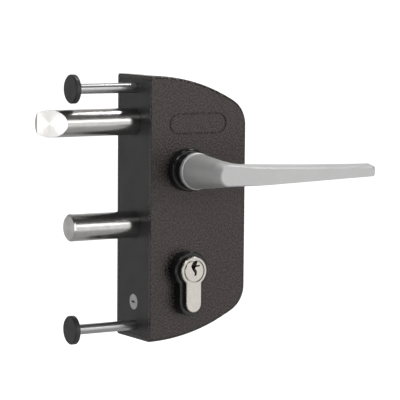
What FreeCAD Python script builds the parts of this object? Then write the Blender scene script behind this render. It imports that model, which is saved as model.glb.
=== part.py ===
import FreeCAD, Part
import math
import os

import Sketcher

# A gate lock for a square gate profile 40 mm wide. The case stands beside the profile, and two
# fixing bolts, the latch bolt and the dead bolt cross it to the other side.
#
# +X points from the profile into the case, +Y from the front to the rear, +Z up.
# The origin lies on the case's mounting face, in the middle of its depth, level with the handle.
# All lengths are in millimetres and all angles in degrees.

SIZES = {
    # The case and its two cover shells
    "case_width": 65.5,
    "case_depth": 40.0,
    "case_bow": 114.0,
    "case_corner": 17.0,
    "case_wall": 2.5,
    "case_edge": 2.0,
    "rib_thickness": 2.5,
    "seat_gap": 0.1,
    "slide_gap": 0.3,
    "fit_gap": 0.05,
    # The bare frame engraved near the top of the front cover
    "plaque_length": 39.0,
    "plaque_height": 12.4,
    "plaque_x": 31.7,
    "plaque_z": 27.0,
    "plaque_line": 0.8,
    "plaque_depth": 0.5,
    # The gate's profile that the lock is made for
    "profile_width": 40.0,
    # The stack of plate, guides and nuts behind the mounting face
    "plate_thickness": 3.0,
    "guide_wall": 1.5,
    "guide_flange": 2.0,
    "guide_flange_rim": 2.5,
    # The fixing bolts, their nuts and their caps
    "fixing_above_latch": 19.75,
    "fixing_below_cylinder": 9.75,
    "case_beyond_fixing": 7.75,
    "fixing_radius": 3.0,
    "fixing_reach": 14.0,
    "fixing_head_radius": 7.5,
    "fixing_head_height": 1.3,
    "fixing_socket_radius": 2.9,
    "fixing_socket_depth": 3.5,
    "nut_width": 13.0,
    "nut_inward": 7.0,
    "nut_height": 8.0,
    "cap_radius": 8.5,
    "cap_height": 3.0,
    "cap_chamfer": 0.7,
    # The screws that close the case
    "case_screw_radius": 2.0,
    "case_screw_head_radius": 3.6,
    "case_screw_head_height": 2.6,
    "case_screw_reach": 13.0,
    "boss_radius": 4.5,
    "near_boss_x": 42.0,
    "near_boss_inset": 14.75,
    "far_boss_x": 57.0,
    "far_boss_inset": 43.5,
    # The axis that the handle and the cylinder share, and the levels of the bolts
    "lock_axis": 24.0,
    "cylinder_drop": 59.0,
    "latch_rise": 28.0,
    "dead_bolt_above_cylinder": 26.0,
    # The latch
    "latch_radius": 8.0,
    "latch_reach": 21.6,
    "latch_tip": 2.8,
    "latch_inner_end": 8.0,
    "tail_width": 10.0,
    "latch_tail_length": 14.0,
    "latch_tail_below": 2.5,
    "latch_tail_above": 8.0,
    "tail_spigot_radius": 4.0,
    "tail_spigot_length": 9.0,
    "tail_pin_radius": 1.5,
    "latch_spring_radius": 3.9,
    "latch_spring_wire": 0.55,
    "latch_spring_turns": 8.0,
    "latch_peg_radius": 2.8,
    "latch_peg_length": 6.0,
    "spring_wall_x": 57.0,
    "spring_wall_half": 6.0,
    # The follower that the handle turns
    "handle_turn": 40.0,
    "hub_radius": 11.0,
    "hub_thickness": 12.0,
    "journal_radius": 8.0,
    "journal_end": 16.0,
    "spindle_side": 8.0,
    "spindle_reach": 52.0,
    "arm_width": 5.0,
    "arm_thickness": 8.0,
    "nose_radius": 3.5,
    "nose_lift": 1.0,
    "return_arm_reach": 17.5,
    "return_nose_radius": 3.0,
    "return_arm_rise": 2.0,
    "return_spring_x": 41.0,
    "return_spring_radius": 4.4,
    "return_spring_wire": 0.6,
    "return_spring_turns": 6.0,
    "shelf_above_dead_bolt": 10.4,
    "shelf_width": 14.0,
    "shelf_thickness": 2.0,
    # The bushes and roses that the handle turns in
    "bush_radius": 10.0,
    "bush_flange_radius": 12.5,
    "bush_inner_end": 12.0,
    "rose_radius": 12.6,
    "rose_height": 5.7,
    "rose_neck_radius": 11.0,
    "rose_neck_height": 4.5,
    "rose_chamfer": 0.6,
    # The handle
    "neck_base_radius": 10.95,
    "neck_front_radius": 6.3,
    "handle_projection": 49.5,
    "handle_length": 101.5,
    "handle_tip_height": 7.8,
    "grip_thickness": 10.0,
    "grip_tip_thickness": 7.3,
    "grip_edge": 1.0,
    "grip_corner": 1.4,
    "handle_screw_radius": 2.0,
    "handle_screw_y": 40.0,
    # The dead bolt
    "dead_bolt_radius": 8.0,
    "dead_bolt_proud": 3.6,
    "dead_bolt_chamfer": 1.0,
    "dead_bolt_throw": 20.0,
    "bolt_tail_wall": 3.5,
    "bolt_notch_width": 9.0,
    "bolt_notch_top": 1.0,
    "bolt_tail_bottom": 9.7,
    "bolt_tail_above": 5.0,
    "tail_screw_radius": 2.5,
    "tail_screw_length": 12.0,
    "tail_screw_head_radius": 4.2,
    "tail_screw_head_height": 4.0,
    # The profile cylinder
    "cylinder_length": 60.0,
    "cylinder_head_radius": 8.5,
    "cylinder_leg_width": 10.0,
    "cylinder_height": 33.0,
    "cylinder_edge": 0.4,
    "plug_radius": 6.9,
    "plug_proud": 0.2,
    "keyway_width": 2.2,
    "keyway_shift": 1.3,
    "keyway_top": 6.0,
    "keyway_bottom": 2.8,
    "keyway_depth": 22.0,
    "cam_slot": 10.0,
    "cam_play": 0.1,
    "cam_hub_radius": 8.0,
    "cam_reach": 15.5,
    "cam_width": 6.0,
    "key_turn": 95.0,
    "bridge_top": 16.2,
    "cylinder_screw_drop": 20.3,
    "cylinder_screw_radius": 2.45,
    "cylinder_screw_head_radius": 4.6,
    "cylinder_screw_head_height": 2.2,
    "cylinder_screw_reach": 30.5,
    # The collars round the cylinder
    "collar_rim": 2.6,
    "collar_height": 7.0,
    "collar_chamfer": 0.6,
    "collar_gap": 0.2,
}

document = FreeCAD.newDocument("gate_lock")
sheet = document.addObject("Spreadsheet::Sheet", "Sizes")
for row, (alias, number) in enumerate(SIZES.items(), start=1):
    sheet.set(f"A{row}", alias)
    sheet.set(f"B{row}", str(number))
    sheet.setAlias(f"B{row}", alias)
document.recompute()


class Size:
    """An amount that knows its number now and its formula over the sheet."""

    def __init__(self, number, formula):
        self.number = number
        self.formula = formula

    def __add__(self, other):
        other = as_size(other)
        return Size(self.number + other.number, f"({self.formula} + {other.formula})")

    def __sub__(self, other):
        other = as_size(other)
        return Size(self.number - other.number, f"({self.formula} - {other.formula})")

    def __mul__(self, other):
        other = as_size(other)
        return Size(self.number * other.number, f"({self.formula} * {other.formula})")

    def __truediv__(self, other):
        other = as_size(other)
        return Size(self.number / other.number, f"({self.formula} / {other.formula})")

    def __neg__(self):
        return Size(-self.number, f"(0 - {self.formula})")


def as_size(amount):
    return amount if isinstance(amount, Size) else Size(float(amount), repr(float(amount)))


def square_root(amount):
    return Size(math.sqrt(amount.number), f"sqrt({amount.formula})")


def sine(angle):
    return Size(math.sin(math.radians(angle.number)), f"sin({angle.formula})")


def cosine(angle):
    return Size(math.cos(math.radians(angle.number)), f"cos({angle.formula})")


def sized(alias):
    """The amount of one cell of the sheet."""
    return Size(float(SIZES[alias]), f"Sizes.{alias}")


def bind(thing, place, amount):
    thing.setExpression(place, as_size(amount).formula)


# Where things lie, worked out from the sheet's cells
half_depth = sized("case_depth") / 2
inner_half_depth = half_depth - sized("case_wall")
lock_axis = sized("lock_axis")
latch_z = sized("latch_rise")
cylinder_z = -sized("cylinder_drop")
dead_bolt_z = cylinder_z + sized("dead_bolt_above_cylinder")
shelf_top = dead_bolt_z + sized("shelf_above_dead_bolt")
cylinder_foot = cylinder_z + sized("cylinder_head_radius") - sized("cylinder_height")
upper_fixing_z = latch_z + sized("fixing_above_latch")
lower_fixing_z = cylinder_foot - sized("fixing_below_cylinder")
fixing_levels = (upper_fixing_z, lower_fixing_z)
case_middle = (upper_fixing_z + lower_fixing_z) / 2
half_height = (upper_fixing_z - lower_fixing_z) / 2 + sized("case_beyond_fixing")
far_side = -sized("profile_width")
guide_end = sized("plate_thickness") + sized("guide_flange")
guide_radius = sized("latch_radius") + sized("fit_gap") + sized("guide_wall")
bolt_guide_radius = sized("dead_bolt_radius") + sized("fit_gap") + sized("guide_wall")

# The follower's nose swings evenly to both sides of the upright over the handle's turn
half_turn = sized("handle_turn") / 2
arm_reach = latch_z + sized("nose_lift")
nose_x = lock_axis - arm_reach * sine(half_turn)
nose_z = arm_reach * cosine(half_turn)
latch_travel = arm_reach * sine(half_turn) * 2
latch_notch_half = sized("nose_radius") + sized("slide_gap")

# The dead bolt's notch is as far from the cylinder's axis at rest as it is once thrown
bolt_tail_x = lock_axis + sized("dead_bolt_throw") / 2
bolt_tail_half = sized("bolt_notch_width") / 2 + sized("bolt_tail_wall")
bolt_tail_start = bolt_tail_x - bolt_tail_half
bolt_tail_end = bolt_tail_x + bolt_tail_half


# Shapes made of simple solids

def block(name, across, deep, high):
    """A box between the lower and higher ends that it is given along X, Y and Z."""
    box = document.addObject("Part::Box", name)
    for side, place, (low, top) in zip(("Length", "Width", "Height"), "xyz", (across, deep, high)):
        bind(box, side, as_size(top) - low)
        bind(box, f"Placement.Base.{place}", low)
    return box


TURN_TO_AXIS = {
    "x": FreeCAD.Rotation(FreeCAD.Vector(0, 1, 0), 90),
    "y": FreeCAD.Rotation(FreeCAD.Vector(1, 0, 0), -90),
    "z": FreeCAD.Rotation(),
}


def lay_along(thing, axis, start, at):
    """Turns a solid that was made along Z to an axis, and puts its foot at a start along it."""
    thing.Placement = FreeCAD.Placement(FreeCAD.Vector(), TURN_TO_AXIS[axis])
    others = iter(at)
    for place in "xyz":
        bind(thing, f"Placement.Base.{place}", start if place == axis else next(others))


def rod(name, axis, radius, start, end, at):
    """A cylinder along an axis; at holds its two other coordinates in X, Y, Z order."""
    cylinder = document.addObject("Part::Cylinder", name)
    bind(cylinder, "Radius", radius)
    bind(cylinder, "Height", as_size(end) - start)
    lay_along(cylinder, axis, start, at)
    return cylinder


def taper(name, axis, start_radius, end_radius, start, end, at):
    """A cone's frustum along an axis."""
    cone = document.addObject("Part::Cone", name)
    bind(cone, "Radius1", start_radius)
    bind(cone, "Radius2", end_radius)
    bind(cone, "Height", as_size(end) - start)
    lay_along(cone, axis, start, at)
    return cone


def joined(name, *shapes):
    fuse = document.addObject("Part::MultiFuse", name)
    fuse.Shapes = list(shapes)
    fuse.Refine = True
    return fuse


def group_of(name, *shapes):
    """Separate solids kept as one node."""
    compound = document.addObject("Part::Compound", name)
    compound.Links = list(shapes)
    return compound


def without(name, base, *tools):
    tool = tools[0]
    if len(tools) > 1:
        tool = joined(name + "_removed", *tools)
    cut = document.addObject("Part::Cut", name)
    cut.Base = base
    cut.Tool = tool
    cut.Refine = True
    return cut


def shared(name, first, second):
    common = document.addObject("Part::Common", name)
    common.Base = first
    common.Tool = second
    return common


def turned(thing, angle, x, z):
    """Turns a solid about an axis along Y through x and z; a positive angle lowers its +X side."""
    thing.Placement = FreeCAD.Placement(FreeCAD.Vector(), FreeCAD.Rotation(FreeCAD.Vector(0, 1, 0), 1))
    bind(thing, "Placement.Rotation.Angle", angle)
    bind(thing, "Placement.Base.x", x)
    bind(thing, "Placement.Base.z", z)


# Shapes made of sketches. The sketches lie in XZ planes: their x is X, their y is Z,
# and their normal points to the front.

def new_body(name):
    return document.addObject("PartDesign::Body", name)


def front_sketch(body, name, forward=0):
    """A sketch in the XZ plane, moved towards the front."""
    plane = next(item for item in body.Origin.OriginFeatures if item.Role == "XZ_Plane")
    sketch = body.newObject("Sketcher::SketchObject", name)
    sketch.AttachmentSupport = [(plane, "")]
    sketch.MapMode = "FlatFace"
    bind(sketch, "AttachmentOffset.Base.z", forward)
    return sketch


def line(sketch, start, end):
    first = FreeCAD.Vector(start[0].number, start[1].number, 0)
    last = FreeCAD.Vector(end[0].number, end[1].number, 0)
    return sketch.addGeometry(Part.LineSegment(first, last), False)


def arc(sketch, centre, radius, first, last):
    """An arc that runs counter-clockwise between two angles in degrees."""
    middle = FreeCAD.Vector(centre[0].number, centre[1].number, 0)
    circle = Part.Circle(middle, FreeCAD.Vector(0, 0, 1), radius.number)
    turn = Part.ArcOfCircle(circle, math.radians(first), math.radians(last))
    return sketch.addGeometry(turn, False)


START, END, CENTRE = 1, 2, 3
ORIGIN = (-1, 1)


def hold(sketch, kind, name, amount, *places):
    """A sketch dimension with a name, bound to an amount."""
    index = sketch.addConstraint(Sketcher.Constraint(kind, *places, amount.number))
    sketch.renameConstraint(index, name)
    sketch.setExpression(f"Constraints.{name}", amount.formula)


def hold_point(sketch, name, piece, end, x, z):
    hold(sketch, "DistanceX", name + "_x", as_size(x), *ORIGIN, piece, end)
    hold(sketch, "DistanceY", name + "_z", as_size(z), *ORIGIN, piece, end)


def polygon(sketch, corners):
    """Straight lines round a list of corners, each held where it is."""
    corners = [(as_size(x), as_size(z)) for x, z in corners]
    for number, corner in enumerate(corners):
        piece = line(sketch, corner, corners[(number + 1) % len(corners)])
        hold_point(sketch, f"corner_{number}", piece, START, *corner)
    for number in range(len(corners)):
        following = (number + 1) % len(corners)
        sketch.addConstraint(Sketcher.Constraint("Coincident", number, END, following, START))


def circles(sketch, radius, centres):
    for number, (x, z) in enumerate(centres):
        x, z = as_size(x), as_size(z)
        middle = FreeCAD.Vector(x.number, z.number, 0)
        piece = sketch.addGeometry(Part.Circle(middle, FreeCAD.Vector(0, 0, 1), radius.number), False)
        hold_point(sketch, f"circle_{number}", piece, CENTRE, x, z)
        hold(sketch, "Radius", f"radius_{number}", radius, piece)


def case_outline(sketch, inset, left):
    """The case seen from the front: straight at the profile, bowed above and below, with round
    corners that run into a straight right side. It is drawn smaller by inset, and starts at left."""
    width = sized("case_width") - inset
    bow = sized("case_bow") - inset
    corner = sized("case_corner") - inset
    height = half_height - inset
    corner_x = width - corner
    slope = corner_x / (bow - corner)
    rise = square_root(as_size(1) - slope * slope)
    corner_z = height - bow + (bow - corner) * rise
    turn = math.degrees(math.asin(slope.number))
    start = math.degrees(math.asin(left.number / bow.number))
    left_z = height - bow + square_root(bow * bow - left * left)
    top_left = (left, case_middle + left_z)
    bottom_left = (left, case_middle - left_z)
    side = (width, case_middle + corner_z), (width, case_middle - corner_z)
    bow_drop = height - bow
    left_side = line(sketch, bottom_left, top_left)
    top = arc(sketch, (as_size(0), case_middle + bow_drop), bow, 90 - turn, 90 - start)
    top_corner = arc(sketch, (corner_x, case_middle + corner_z), corner, 0, 90 - turn)
    right_side = line(sketch, *side)
    low_corner = arc(sketch, (corner_x, case_middle - corner_z), corner, turn - 90, 0)
    low = arc(sketch, (as_size(0), case_middle - bow_drop), bow, start - 90, turn - 90)
    for first, first_end, second, second_end in (
        (left_side, END, top, END),
        (top, START, top_corner, END),
        (top_corner, START, right_side, START),
        (right_side, END, low_corner, END),
        (low_corner, START, low, END),
        (low, START, left_side, START),
    ):
        sketch.addConstraint(Sketcher.Constraint("Coincident", first, first_end, second, second_end))
    hold(sketch, "DistanceX", "left_top", left, *ORIGIN, left_side, END)
    hold(sketch, "DistanceX", "left_foot", left, *ORIGIN, left_side, START)
    hold(sketch, "Radius", "top_bow", bow, top)
    hold(sketch, "Radius", "low_bow", bow, low)
    hold_point(sketch, "top_centre", top, CENTRE, 0, case_middle + bow_drop)
    hold_point(sketch, "low_centre", low, CENTRE, 0, case_middle - bow_drop)
    hold_point(sketch, "top_corner", top_corner, CENTRE, corner_x, case_middle + corner_z)
    hold_point(sketch, "low_corner", low_corner, CENTRE, corner_x, case_middle - corner_z)
    hold(sketch, "DistanceY", "side_top", case_middle + corner_z, *ORIGIN, right_side, START)
    hold(sketch, "DistanceY", "side_foot", case_middle - corner_z, *ORIGIN, right_side, END)
    hold(sketch, "DistanceX", "bow_end", slope * bow, *ORIGIN, top, START)
    hold(sketch, "DistanceX", "bow_end_below", slope * bow, *ORIGIN, low, END)


def keyhole_outline(sketch, rim):
    """The outline of a profile cylinder: a round head on a leg with a round foot, grown by rim."""
    head = sized("cylinder_head_radius") + rim
    leg = sized("cylinder_leg_width") / 2 + rim
    foot_z = cylinder_foot + sized("cylinder_leg_width") / 2
    shoulder = square_root(head * head - leg * leg)
    angle = math.degrees(math.asin(leg.number / head.number))
    right, left = lock_axis + leg, lock_axis - leg
    round_head = arc(sketch, (lock_axis, cylinder_z), head, angle - 90, 270 - angle)
    left_side = line(sketch, (left, cylinder_z - shoulder), (left, foot_z))
    foot = arc(sketch, (lock_axis, foot_z), leg, 180, 360)
    right_side = line(sketch, (right, foot_z), (right, cylinder_z - shoulder))
    for first, first_end, second, second_end in (
        (round_head, END, left_side, START),
        (left_side, END, foot, START),
        (foot, END, right_side, START),
        (right_side, END, round_head, START),
    ):
        sketch.addConstraint(Sketcher.Constraint("Coincident", first, first_end, second, second_end))
    hold_point(sketch, "head", round_head, CENTRE, lock_axis, cylinder_z)
    hold_point(sketch, "foot", foot, CENTRE, lock_axis, foot_z)
    hold_point(sketch, "left_shoulder", left_side, START, left, cylinder_z - shoulder)
    hold_point(sketch, "left_ankle", left_side, END, left, foot_z)
    hold(sketch, "DistanceY", "right_ankle", foot_z, *ORIGIN, right_side, START)
    hold(sketch, "DistanceX", "right_shoulder", right, *ORIGIN, right_side, END)


def stadium_outline(sketch, x, z, length, height, prefix):
    """A level bar with round ends."""
    radius = height / 2
    right, left = x + length / 2 - radius, x - length / 2 + radius
    top, low = z + radius, z - radius
    upper = line(sketch, (right, top), (left, top))
    left_end = arc(sketch, (left, z), radius, 90, 270)
    lower = line(sketch, (left, low), (right, low))
    right_end = arc(sketch, (right, z), radius, -90, 90)
    for first, second in ((upper, left_end), (left_end, lower), (lower, right_end), (right_end, upper)):
        sketch.addConstraint(Sketcher.Constraint("Coincident", first, END, second, START))
    hold_point(sketch, prefix + "_left", left_end, CENTRE, left, z)
    hold_point(sketch, prefix + "_right", right_end, CENTRE, right, z)
    hold_point(sketch, prefix + "_top_right", upper, START, right, top)
    hold_point(sketch, prefix + "_top_left", upper, END, left, top)
    hold(sketch, "DistanceX", prefix + "_low_left", left, *ORIGIN, lower, START)
    hold(sketch, "DistanceX", prefix + "_low_right", right, *ORIGIN, lower, END)


def pad(body, name, sketch, length, to_rear=False):
    """Thickens a sketch towards the front, or towards the rear."""
    feature = body.newObject("PartDesign::Pad", name)
    feature.Profile = sketch
    bind(feature, "Length", length)
    feature.Reversed = to_rear
    sketch.Visibility = False
    document.recompute()
    return feature


def pocket(body, name, sketch, length, to_rear=True):
    """Cuts a sketch into the solid, and makes sure that something was cut."""
    before = body.Shape.Volume
    feature = body.newObject("PartDesign::Pocket", name)
    feature.Profile = sketch
    bind(feature, "Length", length)
    feature.Reversed = not to_rear
    document.recompute()
    if body.Shape.Volume >= before:
        raise ValueError(f"{name} cuts nothing")
    return feature


def edges_at(shape, fits):
    """The names of the edges whose two ends fit."""
    names = []
    for number, edge in enumerate(shape.Edges, start=1):
        points = [vertex.Point for vertex in edge.Vertexes]
        if points and fits(points[0], points[-1]):
            names.append(f"Edge{number}")
    return names


def round_edges(body, name, base, fits, radius, kind="Fillet"):
    """A fillet, or a chamfer, along the edges that fit."""
    feature = body.newObject("PartDesign::" + kind, name)
    feature.Base = (base, edges_at(base.Shape, fits))
    bind(feature, "Radius" if kind == "Fillet" else "Size", radius)
    document.recompute()
    return feature


def near(first, second):
    return abs(first - second) < 1e-4


# The case

boss_places = [
    (sized(x), case_middle + (half_height - sized(inset)) * sign)
    for x, inset in (("near_boss_x", "near_boss_inset"), ("far_boss_x", "far_boss_inset"))
    for sign in (1, -1)
]


def cover(name, rear):
    """One half of the case: a shell open towards the other half and towards the profile, with
    screw bosses, the wall that the latch spring rests on and the return spring's shelf.
    Its outer edge is round, but for the one that meets the profile."""
    outward = 1 if rear else -1
    body = new_body(name)
    outline = front_sketch(body, name + "_outline")
    case_outline(outline, as_size(0), as_size(0))
    solid = pad(body, name + "_solid", outline, half_depth, rear)
    face_y = outward * half_depth.number
    round_edges(body, name + "_edge", solid, lambda first, last: (
        near(first.y, face_y) and near(last.y, face_y) and not near(first.x + last.x, 0)),
        sized("case_edge"))
    hollow = front_sketch(body, name + "_hollow")
    case_outline(hollow, sized("case_wall"), as_size(-1))
    pocket(body, name + "_cavity", hollow, inner_half_depth, rear)
    bosses = front_sketch(body, name + "_boss_circles")
    circles(bosses, sized("boss_radius"), boss_places)
    pad(body, name + "_bosses", bosses, inner_half_depth + sized("case_wall") / 2, rear)
    ribs = front_sketch(body, name + "_spring_wall")
    wall_x = sized("spring_wall_x")
    wall_end = wall_x + sized("rib_thickness")
    wall_low = latch_spring_z - sized("spring_wall_half")
    wall_high = latch_spring_z + sized("spring_wall_half")
    polygon(ribs, [(wall_x, wall_low), (wall_end, wall_low), (wall_end, wall_high), (wall_x, wall_high)])
    pad(body, name + "_spring_rib", ribs, inner_half_depth + sized("case_wall") / 2, rear)
    shelf = front_sketch(body, name + "_shelf_outline")
    middle, half = sized("return_spring_x"), sized("shelf_width") / 2
    shelf_foot = shelf_top - sized("shelf_thickness")
    polygon(shelf, [(middle - half, shelf_foot), (middle + half, shelf_foot),
                    (middle + half, shelf_top), (middle - half, shelf_top)])
    pad(body, name + "_shelf", shelf, inner_half_depth + sized("case_wall") / 2, rear)
    screw_holes = front_sketch(body, name + "_screw_circles")
    circles(screw_holes, sized("case_screw_radius") + sized("fit_gap"), boss_places)
    hole_depth = half_depth if rear else sized("case_screw_reach") + sized("slide_gap")
    pocket(body, name + "_screw_holes", screw_holes, hole_depth, rear)
    openings = front_sketch(body, name + "_bush_circle")
    circles(openings, sized("bush_radius") + sized("fit_gap"), [(lock_axis, as_size(0))])
    pocket(body, name + "_bush_hole", openings, half_depth, rear)
    cylinder_opening = front_sketch(body, name + "_cylinder_outline")
    keyhole_outline(cylinder_opening, sized("collar_gap"))
    pocket(body, name + "_cylinder_hole", cylinder_opening, half_depth, rear)
    return body


def front_cover():
    body = cover("front_cover", rear=False)
    engraving = front_sketch(body, "plaque_outline", half_depth)
    length, height = sized("plaque_length"), sized("plaque_height")
    x, z, thickness = sized("plaque_x"), sized("plaque_z"), sized("plaque_line")
    stadium_outline(engraving, x, z, length, height, "outer")
    stadium_outline(engraving, x, z, length - thickness * 2, height - thickness * 2, "inner")
    pocket(body, "plaque_groove", engraving, sized("plaque_depth"))


def rear_cover():
    body = cover("rear_cover", rear=True)
    recesses = front_sketch(body, "screw_head_circles", -half_depth)
    circles(recesses, sized("case_screw_head_radius") + sized("fit_gap"), boss_places)
    pocket(body, "screw_head_recesses", recesses, sized("case_screw_head_height"), to_rear=False)


def cover_screws():
    """Four screws from the rear, each with a cross of two slots in its head."""
    screws = []
    head_top = half_depth
    head_foot = half_depth - sized("case_screw_head_height")
    slot = sized("case_screw_radius") / 4
    for number, (x, z) in enumerate(boss_places):
        head = rod(f"screw_head_{number}", "y", sized("case_screw_head_radius"), head_foot, head_top, (x, z))
        shank = rod(f"screw_shank_{number}", "y", sized("case_screw_radius"),
                    -sized("case_screw_reach"), head_foot, (x, z))
        reach = sized("case_screw_radius")
        depth = (head_foot + sized("case_screw_head_height") / 3, head_top + 1)
        level = block(f"screw_slot_{number}", (x - reach, x + reach), depth, (z - slot, z + slot))
        upright = block(f"screw_cross_{number}", (x - slot, x + slot), depth, (z - reach, z + reach))
        whole = joined(f"screw_{number}", head, shank)
        screws.append(without(f"cover_screw_{number}", whole, level, upright))
    group_of("cover_screws", *screws)


def mounting_plate():
    """The steel plate that lies on the profile between the two covers."""
    thickness = sized("plate_thickness")
    reach = inner_reach(thickness) - sized("seat_gap")
    half_width = inner_half_depth - sized("seat_gap")
    plate = block("plate_blank", (0, thickness), (-half_width, half_width),
                  (case_middle - reach, case_middle + reach))
    holes = [
        rod("plate_latch_hole", "x", guide_radius, -1, thickness + 1, (0, latch_z)),
        rod("plate_bolt_hole", "x", bolt_guide_radius, -1, thickness + 1, (0, dead_bolt_z)),
    ]
    clearance = sized("fit_gap") * 2
    for number, level in enumerate(fixing_levels):
        holes.append(rod(f"plate_fixing_hole_{number}", "x", sized("fixing_radius") + clearance,
                         -1, thickness + 1, (0, level)))
    screw_z = cylinder_z - sized("cylinder_screw_drop")
    radius = sized("cylinder_screw_radius") + clearance
    holes.append(rod("plate_screw_hole", "x", radius, -1, thickness + 1, (0, screw_z)))
    holes.append(taper("plate_countersink", "x", sized("cylinder_screw_head_radius") + clearance, radius,
                       0, sized("cylinder_screw_head_height"), (0, screw_z)))
    without("mounting_plate", plate, *holes)


def guide(name, radius, sleeve_radius, level):
    """A plastic guide for a bolt: a sleeve through the plate with a flange inside the case."""
    thickness = sized("plate_thickness")
    sleeve = rod(name + "_sleeve", "x", sleeve_radius, 0, thickness, (0, level))
    flange = rod(name + "_flange", "x", sleeve_radius + sized("guide_flange_rim"),
                 thickness, guide_end, (0, level))
    bore = rod(name + "_bore", "x", radius + sized("fit_gap"), -1, guide_end + 1, (0, level))
    without(name, joined(name + "_blank", sleeve, flange), bore)


# What holds the case to the profile

def fixing_bolts():
    """Two bolts across the profile, with flat heads on its far side."""
    bolts = []
    head = far_side - sized("fixing_head_height")
    for number, level in enumerate(fixing_levels):
        flange = rod(f"fixing_head_{number}", "x", sized("fixing_head_radius"), head, far_side, (0, level))
        shank = rod(f"fixing_shank_{number}", "x", sized("fixing_radius"),
                    far_side, sized("fixing_reach"), (0, level))
        socket = hexagon(f"fixing_socket_{number}", sized("fixing_socket_radius"),
                         head, head + sized("fixing_socket_depth"), level)
        bolts.append(without(f"fixing_bolt_{number}", joined(f"fixing_{number}", flange, shank), socket))
    group_of("fixing_bolts", *bolts)


def hexagon(name, radius, start, end, level):
    prism = document.addObject("Part::Prism", name)
    prism.Polygon = 6
    bind(prism, "Circumradius", radius)
    bind(prism, "Height", end - start)
    lay_along(prism, "x", start, (0, level))
    return prism


def inner_reach(x):
    """How far the case's hollow reaches above and below its middle, at a distance x into it."""
    bow = sized("case_bow") - sized("case_wall")
    return half_height - sized("case_wall") - bow + square_root(bow * bow - x * x)


def fixing_nuts():
    """Two block nuts behind the plate, which fill the case's hollow up to its bowed walls."""
    nuts = []
    half = sized("nut_width") / 2
    start = sized("plate_thickness")
    end = start + sized("nut_height")
    outer = inner_reach(end) - sized("seat_gap")
    inner = half_height - sized("case_beyond_fixing") - sized("nut_inward")
    stretches = ((case_middle + inner, case_middle + outer), (case_middle - outer, case_middle - inner))
    for number, (level, high) in enumerate(zip(fixing_levels, stretches)):
        blank = block(f"nut_blank_{number}", (start, end), (-half, half), high)
        bore = rod(f"nut_bore_{number}", "x", sized("fixing_radius") + sized("fit_gap"),
                   start - 1, end + 1, (0, level))
        nuts.append(without(f"fixing_nut_{number}", blank, bore))
    group_of("fixing_nuts", *nuts)


def fixing_cap(name, level):
    """A flat round cap that clips over a fixing bolt's head."""
    top = far_side - sized("cap_height")
    chamfer = sized("cap_chamfer")
    radius = sized("cap_radius")
    rim = rod(name + "_rim", "x", radius, top + chamfer, far_side, (0, level))
    edge = taper(name + "_edge", "x", radius - chamfer, radius, top, top + chamfer, (0, level))
    recess = rod(name + "_recess", "x", sized("fixing_head_radius") + sized("fit_gap"),
                 far_side - sized("fixing_head_height") - sized("fit_gap"), far_side + 1, (0, level))
    without(name, joined(name + "_blank", rim, edge), recess)


# The latch

latch_inner_end = sized("latch_inner_end")


def latch_bolt():
    """A round bolt whose tip is bevelled at 45 degrees towards the front."""
    radius = sized("latch_radius")
    tip = far_side - sized("latch_reach")
    bar = rod("latch_bar", "x", radius, tip, latch_inner_end, (0, latch_z))
    bevel = front_bevel(tip)
    bore = rod("latch_spigot_hole", "x", sized("tail_spigot_radius") + sized("fit_gap"),
               latch_inner_end - sized("tail_spigot_length") - sized("slide_gap"),
               latch_inner_end + 1, (0, latch_z))
    pin_hole = rod("latch_pin_hole", "y", sized("tail_pin_radius") + sized("fit_gap"),
                   -radius - 1, radius + 1, (latch_pin_x, latch_z))
    without("latch_bolt", bar, bevel, bore, pin_hole)


def front_bevel(tip):
    """A box turned by 45 degrees that takes the front corner off the tip."""
    radius = sized("latch_radius")
    wedge = document.addObject("Part::Box", "latch_bevel")
    bind(wedge, "Length", radius * 4)
    bind(wedge, "Width", radius * 4)
    bind(wedge, "Height", radius * 4)
    wedge.Placement = FreeCAD.Placement(FreeCAD.Vector(), FreeCAD.Rotation(FreeCAD.Vector(0, 0, 1), -45))
    diagonal = radius * 2 * square_root(as_size(2))
    bind(wedge, "Placement.Base.x", tip - diagonal)
    bind(wedge, "Placement.Base.y", radius - sized("latch_tip") - diagonal)
    bind(wedge, "Placement.Base.z", latch_z - radius * 2)
    return wedge


latch_pin_x = latch_inner_end - sized("tail_spigot_length") / 2


def latch_tail():
    """The block behind the latch bolt, with a notch for the follower's nose and a spring peg."""
    half = sized("tail_width") / 2
    end = latch_inner_end + sized("latch_tail_length")
    low = latch_z - sized("latch_tail_below")
    top = latch_z + sized("latch_tail_above")
    body = block("latch_tail_block", (latch_inner_end, end), (-half, half), (low, top))
    spigot = rod("latch_spigot", "x", sized("tail_spigot_radius"),
                 latch_inner_end - sized("tail_spigot_length"), latch_inner_end + 1, (0, latch_z))
    peg = rod("latch_peg", "x", sized("latch_peg_radius"), end - 1,
              end + sized("latch_peg_length"), (0, latch_spring_z))
    notch_top = arm_reach + sized("nose_radius") + sized("slide_gap")
    notch = block("latch_notch", (nose_x - latch_notch_half, nose_x + latch_notch_half),
                  (-half - 1, half + 1), (low - 1, notch_top))
    pin_hole = rod("spigot_pin_hole", "y", sized("tail_pin_radius") + sized("fit_gap"),
                   -half - 1, half + 1, (latch_pin_x, latch_z))
    without("latch_tail", joined("latch_tail_blank", body, spigot, peg), notch, pin_hole)


def latch_pin():
    """The pin that ties the tail's spigot to the latch bolt."""
    half = sized("latch_radius") - sized("slide_gap") * 2
    rod("latch_pin", "y", sized("tail_pin_radius"), -half, half, (latch_pin_x, latch_z))


latch_spring_z = latch_z + (sized("latch_tail_above") - sized("latch_tail_below")) / 2


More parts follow.
